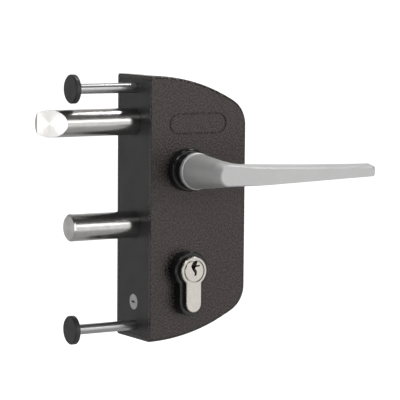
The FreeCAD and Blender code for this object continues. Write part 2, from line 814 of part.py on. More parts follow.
def coil(name, axis, radius, wire, turns, start, end, at):
    """A compression spring: a round wire swept along a helix between two planes."""
    length = as_size(end) - start - wire * 2
    helix = document.addObject("Part::Helix", name + "_path")
    bind(helix, "Pitch", length / turns)
    bind(helix, "Height", length)
    bind(helix, "Radius", radius)
    lay_along(helix, axis, as_size(start) + wire, at)
    section = document.addObject("Part::Circle", name + "_section")
    bind(section, "Radius", wire)
    document.recompute()
    place_section(section, helix)
    sweep = document.addObject("Part::Sweep", name)
    sweep.Sections = [section]
    sweep.Spine = (helix, ["Edge1"])
    sweep.Solid = True
    sweep.Frenet = True
    return sweep


def place_section(section, helix):
    """Puts the wire's section at the start of its helix, square to it."""
    edge = helix.Shape.Edges[0]
    start = edge.valueAt(edge.FirstParameter)
    direction = edge.tangentAt(edge.FirstParameter)
    turn = FreeCAD.Rotation(FreeCAD.Vector(0, 0, 1), direction)
    section.Placement = FreeCAD.Placement(start, turn)


def latch_spring():
    start = latch_inner_end + sized("latch_tail_length") + sized("seat_gap")
    coil("latch_spring", "x", sized("latch_spring_radius"), sized("latch_spring_wire"),
         sized("latch_spring_turns"), start, sized("spring_wall_x") - sized("seat_gap"), (0, latch_spring_z))


# The follower, its spring and its bushes

def follower():
    """The hub that the spindle turns, with an arm up to the latch and an arm over the spring."""
    half = sized("hub_thickness") / 2
    end = sized("journal_end")
    disc = rod("hub_disc", "y", sized("hub_radius"), -half, half, (lock_axis, 0))
    journals = rod("hub_journals", "y", sized("journal_radius"), -end, end, (lock_axis, 0))
    depth = sized("arm_thickness") / 2
    nose = rod("latch_nose", "y", sized("nose_radius"), -depth, depth, (nose_x, nose_z))
    latch_arm = swung_arm("latch_arm", arm_reach, -half_turn - 90)
    return_angle = -sized("return_arm_rise")
    tip_x = lock_axis + sized("return_arm_reach") * cosine(return_angle)
    tip_z = -sized("return_arm_reach") * sine(return_angle)
    return_nose = rod("return_nose", "y", sized("return_nose_radius"), -depth, depth, (tip_x, tip_z))
    return_arm = swung_arm("return_arm", sized("return_arm_reach"), return_angle)
    blank = joined("follower_blank", disc, journals, nose, latch_arm, return_nose, return_arm)
    square = sized("spindle_side") / 2 + sized("fit_gap")
    hole = block("follower_square", (lock_axis - square, lock_axis + square),
                 (-end - 1, end + 1), (-square, square))
    without("follower", blank, hole)


def swung_arm(name, length, angle):
    """A flat bar from the follower's axis outwards; an angle of 0 points it along +X."""
    half = sized("arm_width") / 2
    depth = sized("arm_thickness") / 2
    bar = document.addObject("Part::Box", name + "_bar")
    bind(bar, "Length", length)
    bind(bar, "Width", depth * 2)
    bind(bar, "Height", half * 2)
    bind(bar, "Placement.Base.y", -depth)
    bind(bar, "Placement.Base.z", -half)
    arm = group_of(name, bar)
    turned(arm, angle, lock_axis, 0)
    return arm


def spindle():
    half = sized("spindle_side") / 2
    block("spindle", (lock_axis - half, lock_axis + half), (-sized("spindle_reach"), sized("journal_end")),
          (-half, half))


def return_spring():
    """It stands on the shelf and pushes the follower's arm up."""
    angle = sized("return_arm_rise")
    top = sized("return_arm_reach") * sine(angle) - sized("return_nose_radius") - sized("seat_gap")
    coil("return_spring", "z", sized("return_spring_radius"), sized("return_spring_wire"),
         sized("return_spring_turns"), shelf_top + sized("seat_gap"), top,
         (sized("return_spring_x"), 0))


def both_ways(start, end, rear):
    """A stretch along Y between two distances from the middle, on the front or the rear."""
    return (start, end) if rear else (-as_size(end), -as_size(start))


def handle_bush(name, rear):
    """The plastic bush in a cover's hole, which carries the follower."""
    sleeve = rod(name + "_sleeve", "y", sized("bush_radius"),
                 *both_ways(sized("bush_inner_end"), half_depth, rear), (lock_axis, 0))
    flange = rod(name + "_flange", "y", sized("bush_flange_radius"),
                 *both_ways(inner_half_depth - sized("guide_flange"), inner_half_depth, rear), (lock_axis, 0))
    bore = rod(name + "_bore", "y", sized("journal_radius") + sized("fit_gap"),
               *both_ways(sized("bush_inner_end") - 1, half_depth + 1, rear), (lock_axis, 0))
    without(name, joined(name + "_blank", sleeve, flange), bore)


rose_top = half_depth + sized("rose_height")
rose_end = rose_top + sized("rose_neck_height")


def front_rose():
    """The black stepped collar between the case and the handle."""
    chamfer = sized("rose_chamfer")
    radius = sized("rose_radius")
    flange = rod("rose_flange", "y", radius, chamfer - rose_top, -half_depth, (lock_axis, 0))
    edge = taper("rose_edge", "y", radius - chamfer, radius, -rose_top, chamfer - rose_top, (lock_axis, 0))
    neck = rod("rose_neck", "y", sized("rose_neck_radius"), -rose_end, -half_depth, (lock_axis, 0))
    bore = rod("rose_bore", "y", sized("journal_radius") + sized("fit_gap"),
               -rose_end - 1, as_size(1) - half_depth, (lock_axis, 0))
    without("front_rose", joined("rose_blank", flange, edge, neck), bore)


def rear_rose_cover():
    """The closed cover on the rear, where no handle is fitted. Its spigot clips into the bush."""
    chamfer = sized("rose_chamfer")
    radius = sized("rose_radius")
    disc = rod("rose_cover_disc", "y", radius, half_depth, rose_top - chamfer, (lock_axis, 0))
    edge = taper("rose_cover_edge", "y", radius, radius - chamfer, rose_top - chamfer, rose_top, (lock_axis, 0))
    spigot = rod("rose_cover_spigot", "y", sized("journal_radius"),
                 sized("journal_end") + sized("slide_gap"), half_depth + 1, (lock_axis, 0))
    joined("rear_rose_cover", disc, edge, spigot)


# The handle

neck_start = rose_end + sized("slide_gap")
handle_front = half_depth + sized("handle_projection")
handle_screw_y = -sized("handle_screw_y")


def lever_handle():
    """A conical neck that carries a flat tapered grip, and a stem that runs in the rose."""
    body = new_body("lever_casting")
    outline = front_sketch(body, "grip_outline", handle_front)
    grip_outline(outline)
    grip = pad(body, "grip", outline, sized("grip_thickness"), to_rear=True)
    face_y = -handle_front.number
    tip_x = lock_axis.number + sized("handle_length").number
    corners = round_edges(body, "tip_corners", grip, lambda first, last: (
        near(first.x, tip_x) and near(last.x, tip_x) and near(first.z, last.z)), sized("grip_corner"))
    round_edges(body, "grip_front_edge", corners, lambda first, last: (
        near(first.y, face_y) and near(last.y, face_y)), sized("grip_edge"))
    base_radius = sized("neck_base_radius")
    chamfer = sized("rose_chamfer")
    neck = taper("lever_neck", "y", sized("neck_front_radius"), base_radius,
                 sized("grip_edge") - handle_front, -neck_start - chamfer, (lock_axis, 0))
    ring = taper("lever_ring", "y", base_radius, base_radius - chamfer,
                 -neck_start - chamfer, -neck_start, (lock_axis, 0))
    stem = rod("lever_stem", "y", sized("journal_radius"),
               -neck_start - 1, -sized("journal_end") - sized("slide_gap"), (lock_axis, 0))
    square = sized("spindle_side") / 2 + sized("fit_gap")
    socket = block("lever_socket", (lock_axis - square, lock_axis + square),
                   (-sized("spindle_reach") - sized("slide_gap"), as_size(1) - sized("journal_end")),
                   (-square, square))
    screw_hole = rod("lever_screw_hole", "z", sized("handle_screw_radius") + sized("fit_gap"),
                     -base_radius - 1, 0, (lock_axis, handle_screw_y))
    tapered_grip = without("tapered_grip", body, grip_slope())
    without("lever_handle", joined("lever_blank", tapered_grip, neck, ring, stem), socket, screw_hole)


def grip_outline(sketch):
    """The grip from the front: round at the neck, with straight sides that close in to the tip."""
    radius = sized("neck_front_radius")
    half_tip = sized("handle_tip_height") / 2
    length = sized("handle_length")
    tip_x = lock_axis + length
    reach = square_root(length * length + half_tip * half_tip)
    swing = math.degrees(math.acos(radius.number / reach.number))
    swing += math.degrees(math.atan(half_tip.number / length.number))
    upper = touch_point(radius, half_tip, length)
    round_end = arc(sketch, (lock_axis, as_size(0)), radius, swing, 360 - swing)
    lower_side = line(sketch, (upper[0], -upper[1]), (tip_x, -half_tip))
    tip = line(sketch, (tip_x, -half_tip), (tip_x, half_tip))
    upper_side = line(sketch, (tip_x, half_tip), upper)
    for first, second in ((round_end, lower_side), (lower_side, tip), (tip, upper_side),
                          (upper_side, round_end)):
        sketch.addConstraint(Sketcher.Constraint("Coincident", first, END, second, START))
    hold_point(sketch, "axis", round_end, CENTRE, lock_axis, 0)
    hold_point(sketch, "upper_touch", round_end, START, *upper)
    hold(sketch, "DistanceX", "lower_touch_x", upper[0], *ORIGIN, round_end, END)
    hold_point(sketch, "tip_foot", tip, START, tip_x, -half_tip)
    hold_point(sketch, "tip_top", tip, END, tip_x, half_tip)


def touch_point(radius, half_tip, length):
    """Where a line from the tip's corner touches the round end above the axis."""
    squared = length * length + half_tip * half_tip
    side = square_root(squared - radius * radius)
    along = (radius * radius * length - radius * side * half_tip) / squared
    above = (radius * radius * half_tip + radius * side * length) / squared
    return lock_axis + along, above


def grip_slope():
    """The wedge behind the grip that thins it towards the tip. It is made along +Y and turned over."""
    length = sized("handle_length")
    tall = sized("neck_front_radius") * 4
    wedge = document.addObject("Part::Wedge", "grip_slope")
    bind(wedge, "Ymax", sized("grip_thickness") - sized("grip_tip_thickness"))
    for end, foot in (("", as_size(0)), ("2", length)):
        bind(wedge, f"X{end}min", foot)
        bind(wedge, f"X{end}max", length)
        bind(wedge, f"Z{end}min", 0)
        bind(wedge, f"Z{end}max", tall)
    turn = FreeCAD.Rotation(FreeCAD.Vector(1, 0, 0), 180)
    wedge.Placement = FreeCAD.Placement(FreeCAD.Vector(), turn)
    bind(wedge, "Placement.Base.x", lock_axis)
    bind(wedge, "Placement.Base.y", sized("grip_thickness") - handle_front)
    bind(wedge, "Placement.Base.z", tall / 2)
    return wedge


def handle_screw():
    """The grub screw under the handle's neck, against the spindle."""
    top = -sized("spindle_side") / 2 - sized("fit_gap") * 2
    foot = -sized("neck_front_radius") - 1.5
    rod("handle_screw", "z", sized("handle_screw_radius"), foot, top, (lock_axis, handle_screw_y))


# The dead bolt

def dead_bolt():
    """A round bolt with a chamfered end, drawn in."""
    radius = sized("dead_bolt_radius")
    chamfer = sized("dead_bolt_chamfer")
    face = far_side - sized("dead_bolt_proud")
    bar = rod("dead_bolt_bar", "x", radius, face + chamfer, bolt_tail_start, (0, dead_bolt_z))
    edge = taper("dead_bolt_edge", "x", radius - chamfer, radius, face, face + chamfer, (0, dead_bolt_z))
    thread = rod("dead_bolt_thread", "x", sized("tail_screw_radius") + sized("fit_gap"),
                 bolt_tail_start - sized("tail_screw_length") - sized("slide_gap"),
                 bolt_tail_start + 1, (0, dead_bolt_z))
    without("dead_bolt", joined("dead_bolt_blank", bar, edge), thread)


def bolt_tail():
    """The block on the dead bolt's inner end, with a notch for the cylinder's cam."""
    half = sized("cam_slot") / 2 - sized("cam_play") * 2
    foot = cylinder_z + sized("bolt_tail_bottom")
    top = dead_bolt_z + sized("bolt_tail_above")
    body = block("bolt_tail_block", (bolt_tail_start, bolt_tail_end), (-half, half), (foot, top))
    notch_half = sized("bolt_notch_width") / 2
    notch_top = cylinder_z + sized("cam_reach") + sized("bolt_notch_top")
    notch = block("bolt_notch", (bolt_tail_x - notch_half, bolt_tail_x + notch_half),
                  (-half - 1, half + 1), (foot - 1, notch_top))
    hole = rod("bolt_tail_hole", "x", sized("tail_screw_radius") + sized("fit_gap"),
               bolt_tail_start - 1, bolt_tail_end + 1, (0, dead_bolt_z))
    recess = rod("bolt_tail_recess", "x", sized("tail_screw_head_radius") + sized("fit_gap"),
                 bolt_tail_end - sized("tail_screw_head_height"), bolt_tail_end + 1, (0, dead_bolt_z))
    without("bolt_tail", body, notch, hole, recess)


def bolt_tail_screw():
    """The screw that holds the tail to the dead bolt."""
    head_foot = bolt_tail_end - sized("tail_screw_head_height")
    head = rod("tail_screw_head", "x", sized("tail_screw_head_radius"), head_foot, bolt_tail_end,
               (0, dead_bolt_z))
    shank = rod("tail_screw_shank", "x", sized("tail_screw_radius"),
                bolt_tail_start - sized("tail_screw_length"), head_foot, (0, dead_bolt_z))
    socket = hexagon("tail_screw_socket", sized("tail_screw_radius"),
                     head_foot + sized("tail_screw_head_height") / 3, bolt_tail_end + 1, dead_bolt_z)
    without("bolt_tail_screw", joined("tail_screw_blank", head, shank), socket)


# The cylinder

half_slot = sized("cam_slot") / 2
half_cylinder = sized("cylinder_length") / 2
cylinder_screw_z = cylinder_z - sized("cylinder_screw_drop")


def cylinder_body():
    """The double profile cylinder's housing, cut in the middle for the cam."""
    body = new_body("cylinder_housing")
    outline = front_sketch(body, "cylinder_outline", half_cylinder)
    keyhole_outline(outline, as_size(0))
    bar = pad(body, "cylinder_bar", outline, sized("cylinder_length"), to_rear=True)
    end_y = half_cylinder.number
    round_edges(body, "cylinder_ends", bar, lambda first, last: (
        near(abs(first.y), end_y) and near(first.y, last.y)), sized("cylinder_edge"), kind="Chamfer")
    head = sized("cylinder_head_radius")
    slot = block("cylinder_slot", (lock_axis - head - 1, lock_axis + head + 1), (-half_slot, half_slot),
                 (cylinder_z - sized("bridge_top"), cylinder_z + head + 1))
    bore = rod("cylinder_bore", "y", sized("plug_radius") + sized("fit_gap"),
               -half_cylinder - 1, half_cylinder + 1, (lock_axis, cylinder_z))
    thread = rod("cylinder_thread", "x", sized("cylinder_screw_radius") + sized("fit_gap"),
                 lock_axis - head, lock_axis + head, (0, cylinder_screw_z))
    without("cylinder_body", body, slot, bore, thread)


def plug(name, rear):
    """The round plug that the key turns, with its crooked keyway."""
    bar = rod(name + "_bar", "y", sized("plug_radius"),
              *both_ways(half_slot + sized("cam_play"), half_cylinder + sized("plug_proud"), rear),
              (lock_axis, cylinder_z))
    body = new_body(name + "_keyway")
    face = half_cylinder + sized("plug_proud") + 1
    sketch = front_sketch(body, name + "_keyway_outline", -face if rear else face)
    half, shift = sized("keyway_width") / 2, sized("keyway_shift")
    top, low = sized("keyway_top"), sized("keyway_bottom")
    bends = [(shift, top), (-shift, top / 2), (shift, as_size(0)), (shift / 3, -low)]
    left = [(lock_axis + x - half, cylinder_z + z) for x, z in bends]
    right = [(lock_axis + x + half, cylinder_z + z) for x, z in reversed(bends)]
    polygon(sketch, left + right)
    pad(body, name + "_keyway_cutter", sketch, sized("keyway_depth") + 1, to_rear=not rear)
    without(name, bar, body)


def cam():
    """The tongue between the two plugs that drives the dead bolt."""
    half = half_slot - sized("cam_play")
    hub = rod("cam_hub", "y", sized("cam_hub_radius"), -half, half, (lock_axis, cylinder_z))
    bar = document.addObject("Part::Box", "cam_tongue_bar")
    bind(bar, "Length", sized("cam_reach") + 1)
    bind(bar, "Width", half * 2)
    bind(bar, "Height", sized("cam_width"))
    bind(bar, "Placement.Base.y", -half)
    bind(bar, "Placement.Base.z", -sized("cam_width") / 2)
    tongue = group_of("cam_tongue", bar)
    turned(tongue, sized("key_turn") / 2 - 90, lock_axis, cylinder_z)
    sweep = rod("cam_sweep", "y", sized("cam_reach"), -half - 1, half + 1, (lock_axis, cylinder_z))
    joined("cam", hub, shared("cam_tip", tongue, sweep))


def cylinder_screw():
    """The long screw through the mounting plate that keeps the cylinder in the case."""
    radius = sized("cylinder_screw_radius")
    head_end = sized("cylinder_screw_head_height")
    head = taper("cylinder_screw_head", "x", sized("cylinder_screw_head_radius"), radius,
                 0, head_end, (0, cylinder_screw_z))
    shank = rod("cylinder_screw_shank", "x", radius, head_end, sized("cylinder_screw_reach"),
                (0, cylinder_screw_z))
    slot = radius / 4
    cross = block("cylinder_screw_slot", (-1, head_end / 2), (-radius, radius),
                  (cylinder_screw_z - slot, cylinder_screw_z + slot))
    without("cylinder_screw", joined("cylinder_screw_blank", head, shank), cross)


def collar(name, rear):
    """The raised black collar round the cylinder, in the cylinder's own outline."""
    body = new_body(name)
    foot = -half_depth if rear else half_depth
    outline = front_sketch(body, name + "_outline", foot)
    keyhole_outline(outline, sized("collar_rim"))
    solid = pad(body, name + "_solid", outline, sized("collar_height"), rear)
    outward = 1 if rear else -1
    top_y = outward * (half_depth.number + sized("collar_height").number)
    round_edges(body, name + "_edge", solid, lambda first, last: (
        near(first.y, top_y) and near(last.y, top_y)), sized("collar_chamfer"), kind="Chamfer")
    hole = front_sketch(body, name + "_hole_outline", foot)
    keyhole_outline(hole, sized("collar_gap"))
    pocket(body, name + "_hole", hole, sized("collar_height"), rear)


front_cover()
rear_cover()
cover_screws()
mounting_plate()
guide("latch_guide", sized("latch_radius"), guide_radius, latch_z)
guide("bolt_guide", sized("dead_bolt_radius"), bolt_guide_radius, dead_bolt_z)
fixing_bolts()
fixing_nuts()
fixing_cap("upper_cap", fixing_levels[0])
fixing_cap("lower_cap", fixing_levels[1])
latch_bolt()
latch_tail()
latch_pin()
latch_spring()
follower()
spindle()
return_spring()
handle_bush("front_handle_bush", rear=False)
handle_bush("rear_handle_bush", rear=True)
front_rose()
rear_rose_cover()
lever_handle()
handle_screw()
dead_bolt()
bolt_tail()
bolt_tail_screw()
cylinder_body()
plug("front_plug", rear=False)
plug("rear_plug", rear=True)
cam()
cylinder_screw()
collar("front_collar", rear=False)
collar("rear_collar", rear=True)

NODES = [
    "front_cover", "rear_cover", "cover_screws", "mounting_plate", "latch_guide", "bolt_guide",
    "fixing_bolts", "fixing_nuts", "upper_cap", "lower_cap", "latch_bolt", "latch_tail", "latch_pin",
    "latch_spring", "follower", "spindle", "return_spring", "front_handle_bush", "rear_handle_bush",
    "front_rose", "rear_rose_cover", "lever_handle", "handle_screw", "dead_bolt", "bolt_tail",
    "bolt_tail_screw", "cylinder_body", "front_plug", "rear_plug", "cam", "cylinder_screw",
    "front_collar", "rear_collar",
]

document.recompute()
for thing in document.Objects:
    if "Invalid" in thing.State or "Error" in thing.State:
        raise ValueError(f"{thing.Name} failed: {thing.State}")

os.makedirs("parts", exist_ok=True)
for name in NODES:
    node = document.getObject(name)
    node.Label = name
    shape = node.Shape
    if shape.isNull() or not shape.isValid():
        raise ValueError(f"{name} has no valid shape")
    shape.exportStep(f"parts/{name}.step")
print("wrote", len(NODES), "nodes; latch travel", round(latch_travel.number, 3), "mm")
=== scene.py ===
import math

import bmesh
import bpy
from mathutils import Matrix, Vector


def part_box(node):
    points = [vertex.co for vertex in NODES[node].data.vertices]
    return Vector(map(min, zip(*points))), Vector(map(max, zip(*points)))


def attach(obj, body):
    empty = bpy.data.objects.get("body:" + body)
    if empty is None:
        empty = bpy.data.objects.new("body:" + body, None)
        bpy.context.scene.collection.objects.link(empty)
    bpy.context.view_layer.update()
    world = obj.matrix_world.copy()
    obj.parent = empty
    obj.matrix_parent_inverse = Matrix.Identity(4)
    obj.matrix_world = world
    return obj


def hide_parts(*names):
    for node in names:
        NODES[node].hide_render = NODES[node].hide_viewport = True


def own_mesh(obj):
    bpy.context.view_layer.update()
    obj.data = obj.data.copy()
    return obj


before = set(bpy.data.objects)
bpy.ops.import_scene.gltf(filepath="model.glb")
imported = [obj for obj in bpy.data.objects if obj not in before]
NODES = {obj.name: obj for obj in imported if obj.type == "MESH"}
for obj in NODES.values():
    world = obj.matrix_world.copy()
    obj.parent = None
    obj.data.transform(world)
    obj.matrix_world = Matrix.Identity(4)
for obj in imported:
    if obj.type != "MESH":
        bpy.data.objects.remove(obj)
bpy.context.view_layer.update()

# The gate lock's looks. Lengths are in metres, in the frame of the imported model:
# +X points from the gate post into the case, +Y to the rear, +Z up.

MM = 0.001


# Node trees

class Tree:
    """A node tree that is built up step by step."""

    def __init__(self, tree):
        self.tree = tree

    def add(self, kind, **inputs):
        """A node whose inputs are numbers, colours or other nodes' sockets."""
        node = self.tree.nodes.new(kind)
        for name, value in inputs.items():
            self.fill(node.inputs[name.replace("_", " ")], value)
        return node

    def fill(self, socket, value):
        """Links another node's socket, or sets a number or a colour."""
        if isinstance(value, bpy.types.NodeSocket):
            self.tree.links.new(value, socket)
        else:
            socket.default_value = value

    def calculate(self, kind, operation, *values):
        """A math or vector math node that works on some values."""
        node = self.add(kind)
        node.operation = operation
        for socket, value in zip(node.inputs, values):
            self.fill(socket, value)
        return node

    def combine(self, operation, first, second):
        """A sum, a product or the like of two sockets or numbers."""
        return self.calculate("ShaderNodeMath", operation, first, second).outputs["Value"]

    def agreement(self, first, second):
        """How far two directions agree: 1 where they are the same."""
        return self.calculate("ShaderNodeVectorMath", "DOT_PRODUCT", first, second).outputs["Value"]

    def spread(self, value, low=0.0, high=1.0, start=0.3, end=0.7, soft=False):
        """Maps the values between start and end, for noise its middle range, to those between low
        and high."""
        node = self.add("ShaderNodeMapRange", Value=value, From_Min=start, From_Max=end,
                        To_Min=low, To_Max=high)
        if soft:
            node.interpolation_type = "SMOOTHSTEP"
        return node.outputs["Result"]

    def mix(self, factor, first, second, data_type="FLOAT", socket_type="VALUE"):
        """Goes from the first number or colour to the second by a factor."""
        node = self.add("ShaderNodeMix")
        node.data_type = data_type
        for name, value in (("Factor", factor), ("A", first), ("B", second)):
            self.fill(node.inputs[name], value)
        return next(output for output in node.outputs if output.type == socket_type)

    def seen_by(self):
        """Whether the camera looks, and whether a mirror or glass does."""
        path = self.add("ShaderNodeLightPath").outputs
        mirror = self.combine("MAXIMUM", path["Is Glossy Ray"], path["Is Transmission Ray"])
        return path["Is Camera Ray"], mirror


BEVEL_SAMPLES = 6


class Look(Tree):
    """A material that is built up round one Principled shader."""

    def __init__(self, name, colour, metallic=0.0):
        self.material = bpy.data.materials.new(name)
        self.material.use_nodes = True
        super().__init__(self.material.node_tree)
        self.shader = self.tree.nodes["Principled BSDF"]
        self.colour = colour
        self.set("Metallic", metallic)
        self.place = self.add("ShaderNodeTexCoord").outputs["Object"]
        self.relief = None

    def set(self, name, value):
        self.fill(self.shader.inputs[name], value)

    def noise(self, grain, detail=2.0, place=None):
        """Soft noise whose blots are about one grain wide, in metres."""
        node = self.add("ShaderNodeTexNoise", Vector=place or self.place, Scale=1 / grain, Detail=detail)
        return node.outputs["Fac"]

    def brushed(self, grain, rise):
        """Noise that is drawn out upwards, the more the smaller the rise, as brush marks are."""
        mapping = self.add("ShaderNodeMapping", Vector=self.place, Scale=(1, 1, rise))
        return self.noise(grain, place=mapping.outputs["Vector"])

    def tint(self, factor, first, second):
        """A colour between two, by a factor."""
        return self.mix(factor, (*first, 1), (*second, 1), data_type="RGBA", socket_type="RGBA")

    def shades(self, factor, dark, light):
        """The material's own colour between a darker and a lighter shade, by a factor."""
        first, second = ([part * shade for part in self.colour] for shade in (dark, light))
        return self.tint(factor, first, second)

    def scaled(self, colour, factor):
        """A colour made lighter or darker by a factor."""
        node = self.calculate("ShaderNodeVectorMath", "SCALE", colour)
        self.fill(node.inputs["Scale"], factor)
        return node.outputs["Vector"]

    def round_normal(self, radius):
        """The surface's direction as if its sharp edges were rounded."""
        bevel = self.add("ShaderNodeBevel", Radius=radius)
        bevel.samples = BEVEL_SAMPLES
        return bevel.outputs["Normal"]

    def rounded(self, radius):
        """Softens the shading at sharp edges, as their small rounding does."""
        self.relief = self.round_normal(radius)
        self.set("Normal", self.relief)

    def bump(self, height, strength, distance):
        """Adds relief from a height on top of what is there."""
        node = self.add("ShaderNodeBump", Height=height, Strength=strength, Distance=distance)
        if self.relief:
            self.fill(node.inputs["Normal"], self.relief)
        self.relief = node.outputs["Normal"]
        self.set("Normal", self.relief)

    def edges(self, radius):
        """0 on flat surfaces and up to 1 beside sharp edges."""
        normal = self.add("ShaderNodeNewGeometry").outputs["Normal"]
        same = self.agreement(self.round_normal(radius), normal)
        return self.spread(same, low=1.0, high=0.0, start=0.8, end=0.95)


# Materials. Each gives its colour, how it varies, its roughness and its relief.

def powder_coat():
    """The case's dark brownish grey powder coat with its fine pimpled texture."""
    look = Look("powder_coat", (0.0215, 0.0171, 0.016))
    pimples = look.noise(1.0 * MM)
    fine = look.noise(0.4 * MM, detail=1.0)
    clouds = look.noise(22 * MM)
    mottled = look.shades(look.spread(pimples, start=0.42, end=0.6), dark=0.2, light=2.1)
    look.set("Base Color", look.scaled(mottled, look.spread(clouds, low=0.9, high=1.12)))
    look.set("Roughness", look.spread(clouds, low=0.22, high=0.28))
    look.set("Specular IOR Level", 0.6)
    look.set("Specular Tint", (1.0, 0.9, 0.88, 1))
    look.rounded(0.5 * MM)
    look.bump(pimples, strength=1.0, distance=0.34 * MM)
    look.bump(fine, strength=0.3, distance=0.08 * MM)
    return look.material


def satin_casting():
    """The lever's blasted metal under a satin silver lacquer."""
    look = Look("satin_casting", (0.61, 0.608, 0.606), metallic=0.65)
    sand = look.noise(0.22 * MM, detail=1.5)
    clouds = look.noise(14 * MM, detail=3.0)
    look.set("Base Color", look.shades(look.spread(clouds), dark=0.96, light=1.04))
    look.set("Roughness", look.spread(clouds, low=0.45, high=0.51))
    look.bump(sand, strength=0.10, distance=0.05 * MM)
    return look.material


def black_plastic(name, roughness):
    """Moulded black plastic with a faint grain."""
    look = Look(name, (0.008, 0.008, 0.008))
    grain = look.noise(0.35 * MM)
    clouds = look.noise(9 * MM)
    look.set("Base Color", look.shades(clouds, dark=0.8, light=1.3))
    look.set("Roughness", look.spread(clouds, low=roughness - 0.03, high=roughness + 0.03))
    look.rounded(0.15 * MM)
    look.bump(grain, strength=0.05, distance=0.03 * MM)
    return look.material


def grey_plastic():
    """The caps' dark grey plastic, a little worn."""
    look = Look("grey_plastic", (0.030, 0.030, 0.032))
    grain = look.noise(0.4 * MM)
    clouds = look.noise(5 * MM)
    look.set("Base Color", look.shades(clouds, dark=0.85, light=1.2))
    look.set("Roughness", look.spread(clouds, low=0.36, high=0.48))
    look.rounded(0.3 * MM)
    look.bump(grain, strength=0.14, distance=0.05 * MM)
    return look.material


def bearing_plastic():
    """The guides' and bushes' smooth black plastic."""
    look = Look("bearing_plastic", (0.020, 0.020, 0.020))
    grain = look.noise(0.5 * MM)
    clouds = look.noise(4 * MM)
    look.set("Base Color", look.shades(clouds, dark=0.8, light=1.25))
    look.set("Roughness", look.spread(clouds, low=0.40, high=0.52))
    look.bump(grain, strength=0.10, distance=0.05 * MM)
    return look.material


def turned_steel(name, level):
    """Polished steel with fine marks of the lathe round an axis along X at a level. They spread
    its shine into a fan on the end face."""
    look = Look(name, (0.56, 0.55, 0.535), metallic=1.0)
    centred = look.add("ShaderNodeMapping", Vector=look.place, Location=(0, 0, -level))
    parts = look.add("ShaderNodeSeparateXYZ", Vector=centred.outputs["Vector"]).outputs
    flat = look.add("ShaderNodeCombineXYZ", Y=parts["Y"], Z=parts["Z"]).outputs["Vector"]
    distance = look.calculate("ShaderNodeVectorMath", "LENGTH", flat).outputs["Value"]
    along = look.add("ShaderNodeCombineXYZ", X=parts["X"], Y=distance).outputs["Vector"]
    marks = look.noise(0.12 * MM, place=along)
    smears = look.noise(3 * MM, detail=3.0)
    look.set("Base Color", look.shades(look.spread(smears), dark=0.94, light=1.05))
    look.set("Roughness", look.spread(marks, low=0.15, high=0.27))
    round_axis = look.add("ShaderNodeTangent")
    round_axis.direction_type = "RADIAL"
    round_axis.axis = "X"
    look.set("Tangent", round_axis.outputs["Tangent"])
    look.set("Anisotropic", 0.75)
    look.rounded(0.2 * MM)
    look.bump(marks, strength=0.16, distance=0.03 * MM)
    return look.material


def zinc_plate():
    """Zinc plated sheet and bar steel, with its spangled, slightly blue sheen."""
    look = Look("zinc_plate", (0.56, 0.57, 0.58), metallic=1.0)
    spangle = look.add("ShaderNodeTexVoronoi", Vector=look.place, Scale=1 / (2.2 * MM)).outputs["Color"]
    shade = look.add("ShaderNodeSeparateColor", Color=spangle).outputs["Red"]
    look.set("Base Color", look.shades(shade, dark=0.9, light=1.08))
    look.set("Roughness", look.spread(shade, low=0.30, high=0.44, start=0, end=1))
    look.bump(look.brushed(0.3 * MM, rise=0.06), strength=0.12, distance=0.04 * MM)
    return look.material


def plate_coat():
    """The mounting plate's smooth black coat."""
    look = Look("plate_coat", (0.022, 0.022, 0.024))
    grain = look.noise(0.6 * MM)
    clouds = look.noise(12 * MM, detail=3.0)
    look.set("Base Color", look.shades(look.spread(clouds), dark=0.85, light=1.2))
    look.set("Roughness", look.spread(clouds, low=0.34, high=0.46))
    look.bump(grain, strength=0.15, distance=0.06 * MM)
    return look.material


def screw_steel():
    """Plain stainless screws, brighter on their worn edges."""
    look = Look("screw_steel", (0.52, 0.52, 0.52), metallic=1.0)
    smears = look.noise(1.5 * MM, detail=3.0)
    look.set("Base Color", look.shades(look.edges(0.25 * MM), dark=0.95, light=1.35))
    look.set("Roughness", look.spread(smears, low=0.27, high=0.36))
    look.bump(smears, strength=0.06, distance=0.03 * MM)
    return look.material


def nickel(name, roughness):
    """Satin nickel plating over brass, slightly warm, brushed along the leg."""
    look = Look(name, (0.58, 0.55, 0.505), metallic=1.0)
    marks = look.brushed(0.16 * MM, rise=0.05)
    smears = look.noise(4 * MM)
    look.set("Base Color", look.shades(look.spread(smears), dark=0.95, light=1.04))
    look.set("Roughness", look.spread(marks, low=roughness - 0.05, high=roughness + 0.06))
    look.bump(marks, strength=0.12, distance=0.03 * MM)
    return look.material


def spring_wire():
    """Drawn spring wire with a trace of oil."""
    look = Look("spring_wire", (0.36, 0.35, 0.34), metallic=1.0)
    grain = look.noise(0.2 * MM)
    oil = look.noise(2 * MM)
    look.set("Base Color", look.shades(oil, dark=0.8, light=1.2))
    look.set("Roughness", look.spread(oil, low=0.2, high=0.4))
    look.bump(grain, strength=0.1, distance=0.03 * MM)
    return look.material


# What each CAD node wears. Those that a piece below replaces are left out.

LATCH_Z = 28.0 * MM
DEAD_BOLT_Z = -33.0 * MM
NODE_SHARP_ANGLE = 32
PIECE_SHARP_ANGLE = 28


def smooth(mesh, sharp_angle):
    """Shades a mesh smoothly between the edges that are sharper than an angle in degrees."""
    mesh.shade_smooth()
    mesh.set_sharp_from_angle(angle=math.radians(sharp_angle))


def dress(material, *names):
    """Gives CAD nodes a material."""
    for name in names:
        mesh = NODES[name].data
        mesh.materials.clear()
        mesh.materials.append(material)
        smooth(mesh, NODE_SHARP_ANGLE)


